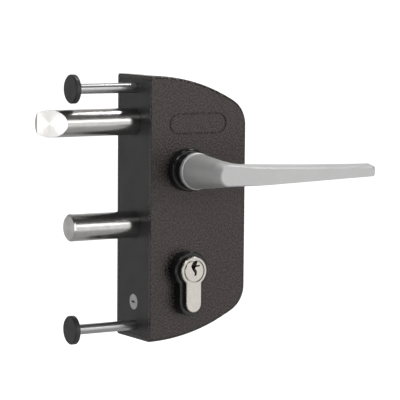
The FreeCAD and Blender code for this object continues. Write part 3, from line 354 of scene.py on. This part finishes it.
def dress_nodes():
    dress(powder_coat(), "front_cover", "rear_cover")
    dress(plate_coat(), "mounting_plate")
    dress(black_plastic("black_plastic", 0.18), "rear_rose_cover", "front_collar", "rear_collar")
    dress(grey_plastic(), "upper_cap", "lower_cap")
    dress(bearing_plastic(), "latch_guide", "bolt_guide", "front_handle_bush", "rear_handle_bush")
    dress(turned_steel("turned_latch", LATCH_Z), "latch_bolt")
    dress(turned_steel("turned_dead_bolt", DEAD_BOLT_Z), "dead_bolt")
    dress(zinc_plate(), "fixing_nuts", "follower", "spindle", "latch_tail", "bolt_tail", "cam")
    dress(screw_steel(), "cover_screws", "fixing_bolts", "handle_screw", "cylinder_screw",
          "bolt_tail_screw", "latch_pin")
    dress(nickel("nickel_body", 0.26), "cylinder_body")
    dress(nickel("nickel_plug", 0.22), "rear_plug")


# Making the pieces that stand in for CAD nodes

def put(made, points):
    """New vertices at points in millimetres: X, then the distance in front of the lock's middle,
    then Z."""
    return [made.verts.new((x * MM, -place * MM, z * MM)) for x, place, z in points]


def bridge(made, first, second, closed=True):
    """Fills the strip between two rows of vertices, or between two loops of them."""
    for number in range(len(first) - (0 if closed else 1)):
        after = (number + 1) % len(first)
        made.faces.new((first[number], first[after], second[after], second[number]))


def mesh_of(made, name, closed=True):
    """The finished mesh. A closed form gets its faces turned outward."""
    if closed:
        bmesh.ops.recalc_face_normals(made, faces=made.faces)
    mesh = bpy.data.meshes.new(name)
    made.to_mesh(mesh)
    made.free()
    return mesh


def full_turn(steps):
    """Angles evenly round a circle."""
    return [2 * math.pi * step / steps for step in range(steps)]


def quarter_turn(steps):
    """Angles evenly over a quarter of a circle, with both ends."""
    return [math.pi / 2 * step / steps for step in range(steps + 1)]


def place_piece(name, mesh, material, body, node):
    """Makes a piece that stands in for a CAD node and moves with its body."""
    mesh.materials.append(material)
    smooth(mesh, PIECE_SHARP_ANGLE)
    piece = bpy.data.objects.new(name, mesh)
    bpy.context.scene.collection.objects.link(piece)
    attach(piece, body)
    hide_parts(node)
    return piece


def cut_out(piece, bar):
    """Cuts a bar's mesh out of a piece for good."""
    cutter = bpy.data.objects.new(bar.name, bar)
    bpy.context.scene.collection.objects.link(cutter)
    cut = piece.modifiers.new("hole", "BOOLEAN")
    cut.object = cutter
    cut.operation = "DIFFERENCE"
    cut.solver = "EXACT"
    bpy.context.view_layer.update()
    done = bpy.data.meshes.new_from_object(piece.evaluated_get(bpy.context.evaluated_depsgraph_get()))
    piece.modifiers.clear()
    piece.data = done
    bpy.data.objects.remove(cutter)
    smooth(piece.data, PIECE_SHARP_ANGLE)


# The lever is one casting: a flat blade whose round end stands on a trumpet neck.

LOCK_AXIS = 24.0

# The blade's reach, depth and bends
FACE = 69.5
BLADE_TIP = 125.3
BLADE_DEPTH = 10.0
TIP_DEPTH = 7.3
ROUND_END = 5.8
BEND_X = 46.0
FACE_BEND_X = 56.0
FACE_LEAN = 0.06

# Its upper and lower edges
TIP_TOP = 3.5
TIP_LOW = 3.8
TOP_RISE = 2.4
TOP_RISE_SHARE = 0.84
TOP_RISE_POWER = 1.5
LOW_DROP = 2.4
TOP_DROP_AT_NECK = 1.0
TOP_DROP = 2.05
BACK_LOW_DROP = 0.3

# Its chamfers and the tip's corners
EDGE_CHAMFER = 0.85
END_CHAMFER = 0.8
LOW_CHAMFER = 0.25
BACK_CHAMFER = 0.7
FACE_TIP_CUT = 1.3
EDGE_TIP_CUT = 0.3
TIP_CORNER = 0.9

# The neck, and how it swells the blade's back
NECK_JOIN = 12.0
NECK_TOP = 60.5
NECK_FOOT = 33.6
NECK_TOP_RADIUS = 7.5
NECK_FOOT_RADIUS = 10.4
NECK_LIFT = 0.4
SHOULDER_RISE = 1.35
SHOULDER_DROP = 0.6
SHOULDER_LENGTH = 9.0
WEB_DEPTH = 13.0
WEB_FADE_POWER = 3

# The rim at the neck's foot, the stem behind it with its square socket, and the grub screw's hole
RIM_FACE = 33.2
RIM_BACK = 30.5
RIM_RADIUS = 10.93
RIM_CHAMFER = 0.6
RIM_BACK_CHAMFER = 0.3
STEM_RADIUS = 8.0
STEM_END = 16.3
SOCKET_HALF = 4.05
SOCKET_END = 52.3
SCREW_HOLE_RADIUS = 2.05
SCREW_HOLE_PLACE = 40.0
SCREW_HOLE_LEVEL = -9.0
SCREW_HOLE_LENGTH = 8.0

# How finely it is cut up
ROUND_STEPS = 20
BLADE_STEPS = 22
JOIN_STEPS = 4
BACK_STEPS = 6
NECK_STEPS = 16
NECK_STEP_POWER = 1.5
LAST_STATION_INSET = 3.0
HOLE_SIDES = 32

# Angles down the blade's round end, from its top to its bottom
ROUND_ANGLES = [math.pi / 2 + math.pi * step / ROUND_STEPS for step in range(ROUND_STEPS + 1)]


def smooth_step(amount):
    amount = min(max(amount, 0.0), 1.0)
    return amount * amount * (3 - 2 * amount)


def top_edge(x):
    """The height of the blade's upper back edge, which sinks towards the tip."""
    share = max(BLADE_TIP - x, 0) / (BLADE_TIP - LOCK_AXIS) / TOP_RISE_SHARE
    return TIP_TOP + TOP_RISE * share ** TOP_RISE_POWER


def low_edge(x):
    """The height of the blade's lower edge, level as far as the bend."""
    share = min((BLADE_TIP - x) / (BLADE_TIP - BEND_X), 1.0)
    return -TIP_LOW - LOW_DROP * share


def to_bend(x):
    """Goes from 0 at the round end to 1 at the bend."""
    return smooth_step((x - LOCK_AXIS) / (BEND_X - LOCK_AXIS))


def face_top(x):
    """The height of the front face's upper edge, which lies lower than the upper back edge."""
    return top_edge(x) - (TOP_DROP_AT_NECK + (TOP_DROP - TOP_DROP_AT_NECK) * to_bend(x))


def face_place(x):
    """The front face's distance, which leans back from a bend of its own towards the neck."""
    return FACE - FACE_LEAN * max(FACE_BEND_X - x, 0)


def edge_cut(x, full=EDGE_CHAMFER):
    """A front edge's chamfer, which changes from its size at the round end to its full size."""
    return END_CHAMFER + (full - END_CHAMFER) * to_bend(x)


def back_place(x):
    """The back face's distance: the blade grows thinner towards the tip."""
    share = min(max((x - LOCK_AXIS) / (BLADE_TIP - LOCK_AXIS), 0.0), 1.0)
    return FACE - BLADE_DEPTH + (BLADE_DEPTH - TIP_DEPTH) * share


def back_edge_place(x):
    """The distance of the back edge's outer side, where the neck begins beside the round end."""
    return NECK_TOP if x <= LOCK_AXIS + NECK_JOIN else back_place(x) + BACK_CHAMFER


def shoulder(x):
    """How far the neck's roundness still swells the blade's back at a place."""
    return 1 - smooth_step((x - LOCK_AXIS) / SHOULDER_LENGTH)


def blade_stations():
    """Where the blade is cut across, closer together beside the neck."""
    near = [LOCK_AXIS + NECK_JOIN * (step + 1) / JOIN_STEPS for step in range(JOIN_STEPS)]
    start = near[-1]
    length = BLADE_TIP - LAST_STATION_INSET - start
    return near + [start + length * (step + 1) / BLADE_STEPS for step in range(BLADE_STEPS)]


def lever_loop(top, low, place, left, tip):
    """A closed loop round the lever: down the round end, out below, up the tip and back above.
    Its heights and distances are functions of X."""
    middle = (top(LOCK_AXIS) + low(LOCK_AXIS)) / 2
    half = (top(LOCK_AXIS) - low(LOCK_AXIS)) / 2
    stations = blade_stations()
    loop = []
    for angle in ROUND_ANGLES:
        x = LOCK_AXIS + left * math.cos(angle)
        loop.append((x, place(x), middle + half * math.sin(angle)))
    loop += [(x, place(x), low(x)) for x in stations]
    inner = tip - TIP_CORNER
    loop += [(inner, place(tip), low(tip)), (tip, place(tip), low(tip) + TIP_CORNER),
             (tip, place(tip), top(tip) - TIP_CORNER), (inner, place(tip), top(tip))]
    loop += [(x, place(x), top(x)) for x in reversed(stations)]
    return loop


def blade_loops():
    """The front face's outline, its chamfer's outer side, and both sides of the back edge."""
    return [
        lever_loop(face_top, lambda x: low_edge(x) + edge_cut(x, LOW_CHAMFER), face_place,
                   left=ROUND_END - END_CHAMFER, tip=BLADE_TIP - FACE_TIP_CUT),
        lever_loop(lambda x: face_top(x) + edge_cut(x), low_edge, lambda x: face_place(x) - edge_cut(x),
                   left=ROUND_END, tip=BLADE_TIP - EDGE_TIP_CUT),
        lever_loop(lambda x: top_edge(x) + SHOULDER_RISE * shoulder(x),
                   lambda x: low_edge(x) - BACK_LOW_DROP - SHOULDER_DROP * shoulder(x), back_edge_place,
                   left=NECK_TOP_RADIUS, tip=BLADE_TIP),
        lever_loop(lambda x: top_edge(x) - BACK_CHAMFER, lambda x: low_edge(x) + BACK_CHAMFER, back_place,
                   left=NECK_TOP_RADIUS, tip=BLADE_TIP - BACK_CHAMFER),
    ]


def ring(place, radii, angles, lift=0.0):
    """A loop round the lock's axis, with a radius for each angle."""
    return [Vector((LOCK_AXIS + radius * math.cos(angle), place, radius * math.sin(angle) + lift))
            for radius, angle in zip(radii, angles)]


def neck_loops(first):
    """Loops from the blade's back down the trumpet neck, round its rim, along the stem and back
    up its square socket. The first loop's own form fades out over the web's depth."""
    rest = len(first) - len(ROUND_ANGLES)
    angles = ROUND_ANGLES + [math.pi * 3 / 2 + math.pi * (step + 1) / (rest + 1) for step in range(rest)]

    def round_ring(place, radius, lift=0.0):
        return ring(place, [radius] * len(angles), angles, lift)

    start = round_ring(NECK_TOP, NECK_TOP_RADIUS, NECK_LIFT)
    loops = []
    for step in range(1, NECK_STEPS + 1):
        place = NECK_TOP - (NECK_TOP - NECK_FOOT) * (step / NECK_STEPS) ** NECK_STEP_POWER
        down = max((NECK_TOP - place) / (NECK_TOP - NECK_FOOT), 0.0)
        radius = NECK_TOP_RADIUS + (NECK_FOOT_RADIUS - NECK_TOP_RADIUS) * down
        lift = NECK_LIFT * (place - NECK_FOOT) / (NECK_TOP - NECK_FOOT)
        own_form = max(1 - (NECK_TOP - place) / WEB_DEPTH, 0.0) ** WEB_FADE_POWER
        loops.append([point + (Vector(own) - even) * own_form
                      for point, own, even in zip(round_ring(place, radius, lift), first, start)])
    for place, radius in ((RIM_FACE, RIM_RADIUS - RIM_CHAMFER), (RIM_FACE - RIM_CHAMFER, RIM_RADIUS),
                          (RIM_BACK + RIM_BACK_CHAMFER, RIM_RADIUS),
                          (RIM_BACK, RIM_RADIUS - RIM_BACK_CHAMFER),
                          (RIM_BACK, STEM_RADIUS), (STEM_END, STEM_RADIUS)):
        loops.append(round_ring(place, radius))
    square = [SOCKET_HALF / max(abs(math.cos(angle)), abs(math.sin(angle))) for angle in angles]
    loops.append(ring(STEM_END, square, angles))
    loops.append(ring(SOCKET_END, square, angles))
    return loops


def across(made, low, high):
    """A row of vertices over the back face, from a lower to an upper one."""
    inner = [low.co.lerp(high.co, (step + 1) / BACK_STEPS) for step in range(BACK_STEPS - 1)]
    return [low, *(made.verts.new(point) for point in inner), high]


def fill_face(made, loop):
    """Fills the front face with a strip from its round end to the tip."""
    half = ROUND_STEPS // 2
    made.faces.new((loop[half - 1], loop[half], loop[half + 1]))
    pairs = [(loop[number], loop[ROUND_STEPS - number]) for number in range(half - 1, -1, -1)]
    pairs += [(loop[-1 - number], loop[ROUND_STEPS + 1 + number])
              for number in range((len(loop) - ROUND_STEPS - 1) // 2)]
    for first, second in zip(pairs, pairs[1:]):
        made.faces.new((*first, second[1], second[0]))


def fill_back(made, loop):
    """Fills the back face from the neck to the tip, and returns its row beside the neck."""
    half = len(loop) // 2
    rows = [across(made, loop[number], loop[-1 - number]) for number in range(half - 1)]
    for first, second in zip(rows, rows[1:]):
        bridge(made, first, second, closed=False)
    made.faces.new((*rows[-1], loop[half], loop[half - 1]))
    return rows[0]


def lever_mesh():
    """Bridges the blade's loops from front to back, then the neck's from there to the socket."""
    made = bmesh.new()
    *outer_loops, back_loop = blade_loops()
    outer = [put(made, loop) for loop in outer_loops]
    low_join = ROUND_STEPS + JOIN_STEPS
    top_join = len(back_loop) - JOIN_STEPS
    back = put(made, back_loop[low_join:top_join + 1])
    for first, second in zip(outer, outer[1:]):
        bridge(made, first, second)
    back_edge = outer[-1]
    bridge(made, back_edge[low_join:top_join + 1], back, closed=False)
    fill_face(made, outer[0])
    beside_neck = fill_back(made, back)
    previous = back_edge[:low_join + 1] + beside_neck + back_edge[top_join:]
    neck_start = [(point.co.x / MM, -point.co.y / MM, point.co.z / MM) for point in previous]
    for loop in neck_loops(neck_start):
        following = put(made, loop)
        bridge(made, previous, following)
        previous = following
    made.faces.new(previous)
    return mesh_of(made, "lever")


def screw_hole():
    """A round bar where the grub screw's hole comes out under the neck."""
    made = bmesh.new()
    centre = Matrix.Translation((LOCK_AXIS * MM, -SCREW_HOLE_PLACE * MM, SCREW_HOLE_LEVEL * MM))
    bmesh.ops.create_cone(made, cap_ends=True, segments=HOLE_SIDES, radius1=SCREW_HOLE_RADIUS * MM,
                          radius2=SCREW_HOLE_RADIUS * MM, depth=SCREW_HOLE_LENGTH * MM, matrix=centre)
    return mesh_of(made, "screw_hole")


def lever():
    piece = place_piece("lever", lever_mesh(), satin_casting(), "handle", "lever_handle")
    cut_out(piece, screw_hole())


# The rose under the handle and the front plug, turned on a lathe

ROSE_BACK = 20.0
ROSE_RADIUS = 12.6
ROSE_TOP = 25.7
ROSE_ROUND = 1.4
ROSE_NECK_RADIUS = 11.0
ROSE_NECK_ROUND = 0.7
ROSE_END = 30.2
ROSE_BORE = 8.08
CYLINDER_Z = -59.0
PLUG_RADIUS = 6.9
PLUG_FACE = 30.2
PLUG_BACK = 5.1
PLUG_RIM_RADIUS = 6.3
PLUG_GROOVE = 1.1
PLUG_CHAMFER = 0.25
KEYWAY_DEPTH = 12.0
KEYWAY_OVERSHOOT = 1.0
TURN_STEPS = 72
CORNER_STEPS = 6

# The keyway as seen from the front, from the plug's axis: wider above, with a slit to one side
KEYWAY_OUTLINE = ((-0.6, 6.0), (2.3, 6.0), (1.5, 4.5), (1.2, 3.5), (3.6, 3.6), (3.5, 2.7), (1.0, 2.5),
                  (0.3, 1.6), (1.6, -0.2), (1.2, -2.6), (-0.1, -2.8), (0.1, -1.0), (-1.3, 0.6),
                  (-2.4, 2.8), (-1.6, 4.6))


def round_corner(radius, place, size):
    """Points of a profile round an outer corner, from its side to its top."""
    return [(radius - size + size * math.cos(angle), place - size + size * math.sin(angle))
            for angle in quarter_turn(CORNER_STEPS)]


def turned_mesh(name, profile, level, closed):
    """Turns a profile of radii and distances round an axis along Y at a level. An open profile
    gets its two ends filled."""
    made = bmesh.new()
    rings = [put(made, [(LOCK_AXIS + radius * math.cos(angle), place, level + radius * math.sin(angle))
                        for angle in full_turn(TURN_STEPS)])
             for radius, place in profile]
    for first, second in zip(rings, rings[1:]):
        bridge(made, first, second)
    if closed:
        bridge(made, rings[-1], rings[0])
    else:
        made.faces.new(rings[0])
        made.faces.new(rings[-1])
    return mesh_of(made, name)


def rose():
    """The stepped black collar that the lever's stem turns in."""
    profile = [(ROSE_BORE, ROSE_BACK), (ROSE_RADIUS, ROSE_BACK),
               *round_corner(ROSE_RADIUS, ROSE_TOP, ROSE_ROUND), (ROSE_NECK_RADIUS, ROSE_TOP),
               *round_corner(ROSE_NECK_RADIUS, ROSE_END, ROSE_NECK_ROUND), (ROSE_BORE, ROSE_END)]
    mesh = turned_mesh("rose", profile, level=0.0, closed=True)
    place_piece("rose", mesh, black_plastic("rose_plastic", 0.13), "case", "front_rose")


def keyway():
    """A bar with the keyway's outline, which reaches a little out of the plug."""
    made = bmesh.new()
    front, end = (put(made, [(LOCK_AXIS + x, place, CYLINDER_Z + z) for x, z in KEYWAY_OUTLINE])
                  for place in (PLUG_FACE + KEYWAY_OVERSHOOT, PLUG_FACE - KEYWAY_DEPTH))
    bridge(made, front, end)
    made.faces.new(front)
    made.faces.new(end)
    return mesh_of(made, "keyway")


def plug():
    """The front plug, with a groove round its face and the keyway."""
    foot = PLUG_FACE - PLUG_GROOVE
    profile = [(PLUG_RIM_RADIUS - PLUG_CHAMFER, PLUG_FACE), (PLUG_RIM_RADIUS, PLUG_FACE - PLUG_CHAMFER),
               (PLUG_RIM_RADIUS, foot), (PLUG_RADIUS, foot), (PLUG_RADIUS, PLUG_BACK)]
    mesh = turned_mesh("plug", profile, level=CYLINDER_Z, closed=False)
    piece = place_piece("plug", mesh, nickel("plug_face", 0.24), "plugs", "front_plug")
    cut_out(piece, keyway())


# The two springs inside, as coils of wire that ride on the case

LATCH_COIL_RADIUS = 3.9
LATCH_COIL_WIRE = 0.55
LATCH_COIL_TURNS = 8
RETURN_COIL_RADIUS = 4.4
RETURN_COIL_WIRE = 0.6
RETURN_COIL_TURNS = 6
CLOSE_PITCH = 2.05
COIL_STEPS = 32
WIRE_STEPS = 10


def coil_height(turn, turns, length, wire):
    """How high the wire's middle lies after some turns. The first and the last turn lie close."""
    close = CLOSE_PITCH * wire
    if turn < 1:
        return close * turn
    if turn > turns - 1:
        return length - close * (turns - turn)
    return close + (length - 2 * close) * (turn - 1) / (turns - 2)


def coil_mesh(name, radius, wire, turns, length, stand):
    """A wire of a radius of its own, wound up from the origin and then stood in its place."""
    made = bmesh.new()
    rings = []
    for step in range(turns * COIL_STEPS + 1):
        turn = step / COIL_STEPS
        outward = Vector((math.cos(2 * math.pi * turn), math.sin(2 * math.pi * turn), 0))
        middle = outward * radius
        middle.z = wire + coil_height(turn, turns, length - 2 * wire, wire)
        points = [middle + (outward * math.cos(angle) + Vector((0, 0, math.sin(angle)))) * wire
                  for angle in full_turn(WIRE_STEPS)]
        rings.append([made.verts.new(stand @ (point * MM)) for point in points])
    for first, second in zip(rings, rings[1:]):
        bridge(made, first, second)
    made.faces.new(rings[0])
    made.faces.new(rings[-1])
    return mesh_of(made, name)


def latch_coil(wire_look):
    """The latch's spring lies along X against its wall."""
    low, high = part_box("latch_spring")
    length = high[0] - low[0]
    level = (low[2] + high[2]) / 2
    stand = Matrix.Translation((low[0], 0, level)) @ Matrix.Rotation(math.radians(90), 4, "Y")
    mesh = coil_mesh("latch_coil", LATCH_COIL_RADIUS, LATCH_COIL_WIRE, LATCH_COIL_TURNS, length / MM, stand)
    piece = place_piece("latch_coil", mesh, wire_look, "case", "latch_spring")
    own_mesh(piece)


def return_coil(wire_look):
    """The handle's spring stands on its shelf."""
    low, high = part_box("return_spring")
    length = high[2] - low[2]
    middle = (low[0] + high[0]) / 2
    stand = Matrix.Translation((middle, 0, low[2]))
    mesh = coil_mesh("return_coil", RETURN_COIL_RADIUS, RETURN_COIL_WIRE, RETURN_COIL_TURNS,
                     length / MM, stand)
    piece = place_piece("return_coil", mesh, wire_look, "case", "return_spring")
    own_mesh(piece)


def springs():
    wire_look = spring_wire()
    latch_coil(wire_look)
    return_coil(wire_look)


# The studio: a pale sheet, a dome of light and soft boxes

FLOOR_Z = -0.80
BACKDROP_Y = 1.6
BACKDROP_TOP = 3.5
STUDIO_HALF = 4.0
SWEEP_RADIUS = 0.8
SWEEP_STEPS = 12
PAPER_GLOW = 0.8
PAPER_MIRROR_GLOW = 0.05
DOME_SIDE = (0.5, -0.8, -0.25)
DOME_DARK_SIDE = 0.04
DOME_LIGHT_SIDE = 0.6
DOME_BLEND = 0.6
DOME_MIRROR_GLOW = 0.05
LAMP_AIM = Vector((LOCK_AXIS * MM, 0, -20 * MM))


def backdrop():
    """A pale floor that sweeps up into a backdrop, well below and behind the lock."""
    profile = [(-STUDIO_HALF, FLOOR_Z)]
    profile += [(BACKDROP_Y - SWEEP_RADIUS + SWEEP_RADIUS * math.sin(angle),
                 FLOOR_Z + SWEEP_RADIUS - SWEEP_RADIUS * math.cos(angle))
                for angle in quarter_turn(SWEEP_STEPS)]
    profile.append((BACKDROP_Y, BACKDROP_TOP))
    made = bmesh.new()
    rows = [[made.verts.new((side * STUDIO_HALF, y, z)) for side in (-1, 1)] for y, z in profile]
    for first, second in zip(rows, rows[1:]):
        bridge(made, first, second, closed=False)
    mesh = mesh_of(made, "backdrop", closed=False)
    mesh.shade_smooth()
    mesh.materials.append(backdrop_paper())
    sheet = bpy.data.objects.new("backdrop", mesh)
    bpy.context.scene.collection.objects.link(sheet)


def backdrop_paper():
    """White paper. The camera sees it lifted to nearly white, and mirrors see it dimmer, as it is
    far from the lamps."""
    look = Look("backdrop_paper", (0.6, 0.6, 0.6))
    camera_sees, mirror_sees = look.seen_by()
    glow = look.combine("MULTIPLY", camera_sees, PAPER_GLOW)
    mirror_glow = look.combine("MULTIPLY", mirror_sees, PAPER_MIRROR_GLOW)
    look.set("Base Color", look.tint(look.noise(20 * MM), (0.59, 0.59, 0.59), (0.61, 0.61, 0.61)))
    look.set("Roughness", 0.9)
    look.set("Specular IOR Level", 0.0)
    look.set("Emission Color", (1, 1, 1, 1))
    look.set("Emission Strength", look.combine("ADD", glow, mirror_glow))
    return look.material


def dome():
    """A soft dome of light that is stronger from the right front. The camera sees it white, and
    mirrors see it dim, as the studio round the lamps is."""
    world = bpy.data.worlds.new("dome")
    bpy.context.scene.world = world
    world.use_nodes = True
    sky = Tree(world.node_tree)
    direction = sky.add("ShaderNodeTexCoord").outputs["Generated"]
    light = sky.spread(sky.agreement(direction, DOME_SIDE), low=DOME_DARK_SIDE, high=DOME_LIGHT_SIDE,
                       start=-DOME_BLEND, end=DOME_BLEND, soft=True)
    camera_sees, mirror_sees = sky.seen_by()
    unseen = sky.mix(mirror_sees, light, DOME_MIRROR_GLOW)
    background = world.node_tree.nodes["Background"].inputs
    sky.fill(background["Color"], (1, 1, 1, 1))
    sky.fill(background["Strength"], sky.mix(camera_sees, unseen, 1.0))


def lamp(name, place, width, height, radiance):
    """A soft box that faces the lock, as bright as its radiance where a mirror shows it."""
    light = bpy.data.lights.new(name, "AREA")
    light.shape = "RECTANGLE"
    light.size = width
    light.size_y = height
    light.energy = radiance * math.pi * width * height
    box = bpy.data.objects.new(name, light)
    box.location = place
    box.rotation_mode = "QUATERNION"
    box.rotation_quaternion = (LAMP_AIM - Vector(place)).to_track_quat("-Z", "Y")
    box.visible_camera = False
    bpy.context.scene.collection.objects.link(box)


def lamps():
    lamp("right_softbox", (1.1, -1.75, 0.0), width=2.4, height=1.9, radiance=0.98)
    lamp("key_lamp", (0.85, -1.7, 0.55), width=0.5, height=0.4, radiance=2.5)
    lamp("left_softbox", (-1.5, -0.72, 0.1), width=0.3, height=1.2, radiance=2.7)
    lamp("front_lamp", (-0.22, -0.42, 0.42), width=0.14, height=0.14, radiance=10.0)
    lamp("top_softbox", (0.05, 0.1, 0.95), width=0.22, height=0.25, radiance=13.0)
    lamp("top_right_lamp", (0.6, 0.0, 0.95), width=0.22, height=0.22, radiance=15.0)
    lamp("rear_softbox", (1.0, 1.35, 0.1), width=1.5, height=1.6, radiance=0.8)
    lamp("rear_strip", (-0.76, 1.3, -0.1), width=0.25, height=0.8, radiance=0.3)


# The camera stands where the photograph was taken from. Its angles are in degrees.

CAMERA_AZIMUTH = 31.25
CAMERA_ELEVATION = 5.81
CAMERA_ROLL = 0.49
CAMERA_TARGET = Vector((45.6, 0, -20.7)) * MM
CAMERA_DISTANCE = 1.339
FOCAL_PIXELS = 2225.0
PICTURE_PIXELS = 400.0
SENSOR_WIDTH = 36.0
NEAREST_SEEN = 0.05
FARTHEST_SEEN = 50


def camera():
    azimuth, elevation, roll = (
        math.radians(angle) for angle in (CAMERA_AZIMUTH, CAMERA_ELEVATION, CAMERA_ROLL))
    back = Vector((-math.sin(azimuth) * math.cos(elevation), -math.cos(azimuth) * math.cos(elevation),
                   math.sin(elevation)))
    level = Vector((math.cos(azimuth), -math.sin(azimuth), 0))
    upright = back.cross(level)
    right = level * math.cos(roll) + upright * math.sin(roll)
    up = upright * math.cos(roll) - level * math.sin(roll)
    lens = bpy.data.cameras.new("camera")
    lens.sensor_width = SENSOR_WIDTH
    lens.lens = FOCAL_PIXELS / PICTURE_PIXELS * SENSOR_WIDTH
    lens.clip_start = NEAREST_SEEN
    lens.clip_end = FARTHEST_SEEN
    eye = bpy.data.objects.new("camera", lens)
    turn = Matrix((right, up, back)).transposed().to_4x4()
    eye.matrix_world = Matrix.Translation(CAMERA_TARGET + back * CAMERA_DISTANCE) @ turn
    bpy.context.scene.collection.objects.link(eye)
    bpy.context.scene.camera = eye


dress_nodes()
lever()
rose()
plug()
springs()
backdrop()
dome()
lamps()
camera()
bpy.context.scene.view_settings.view_transform = "Standard"
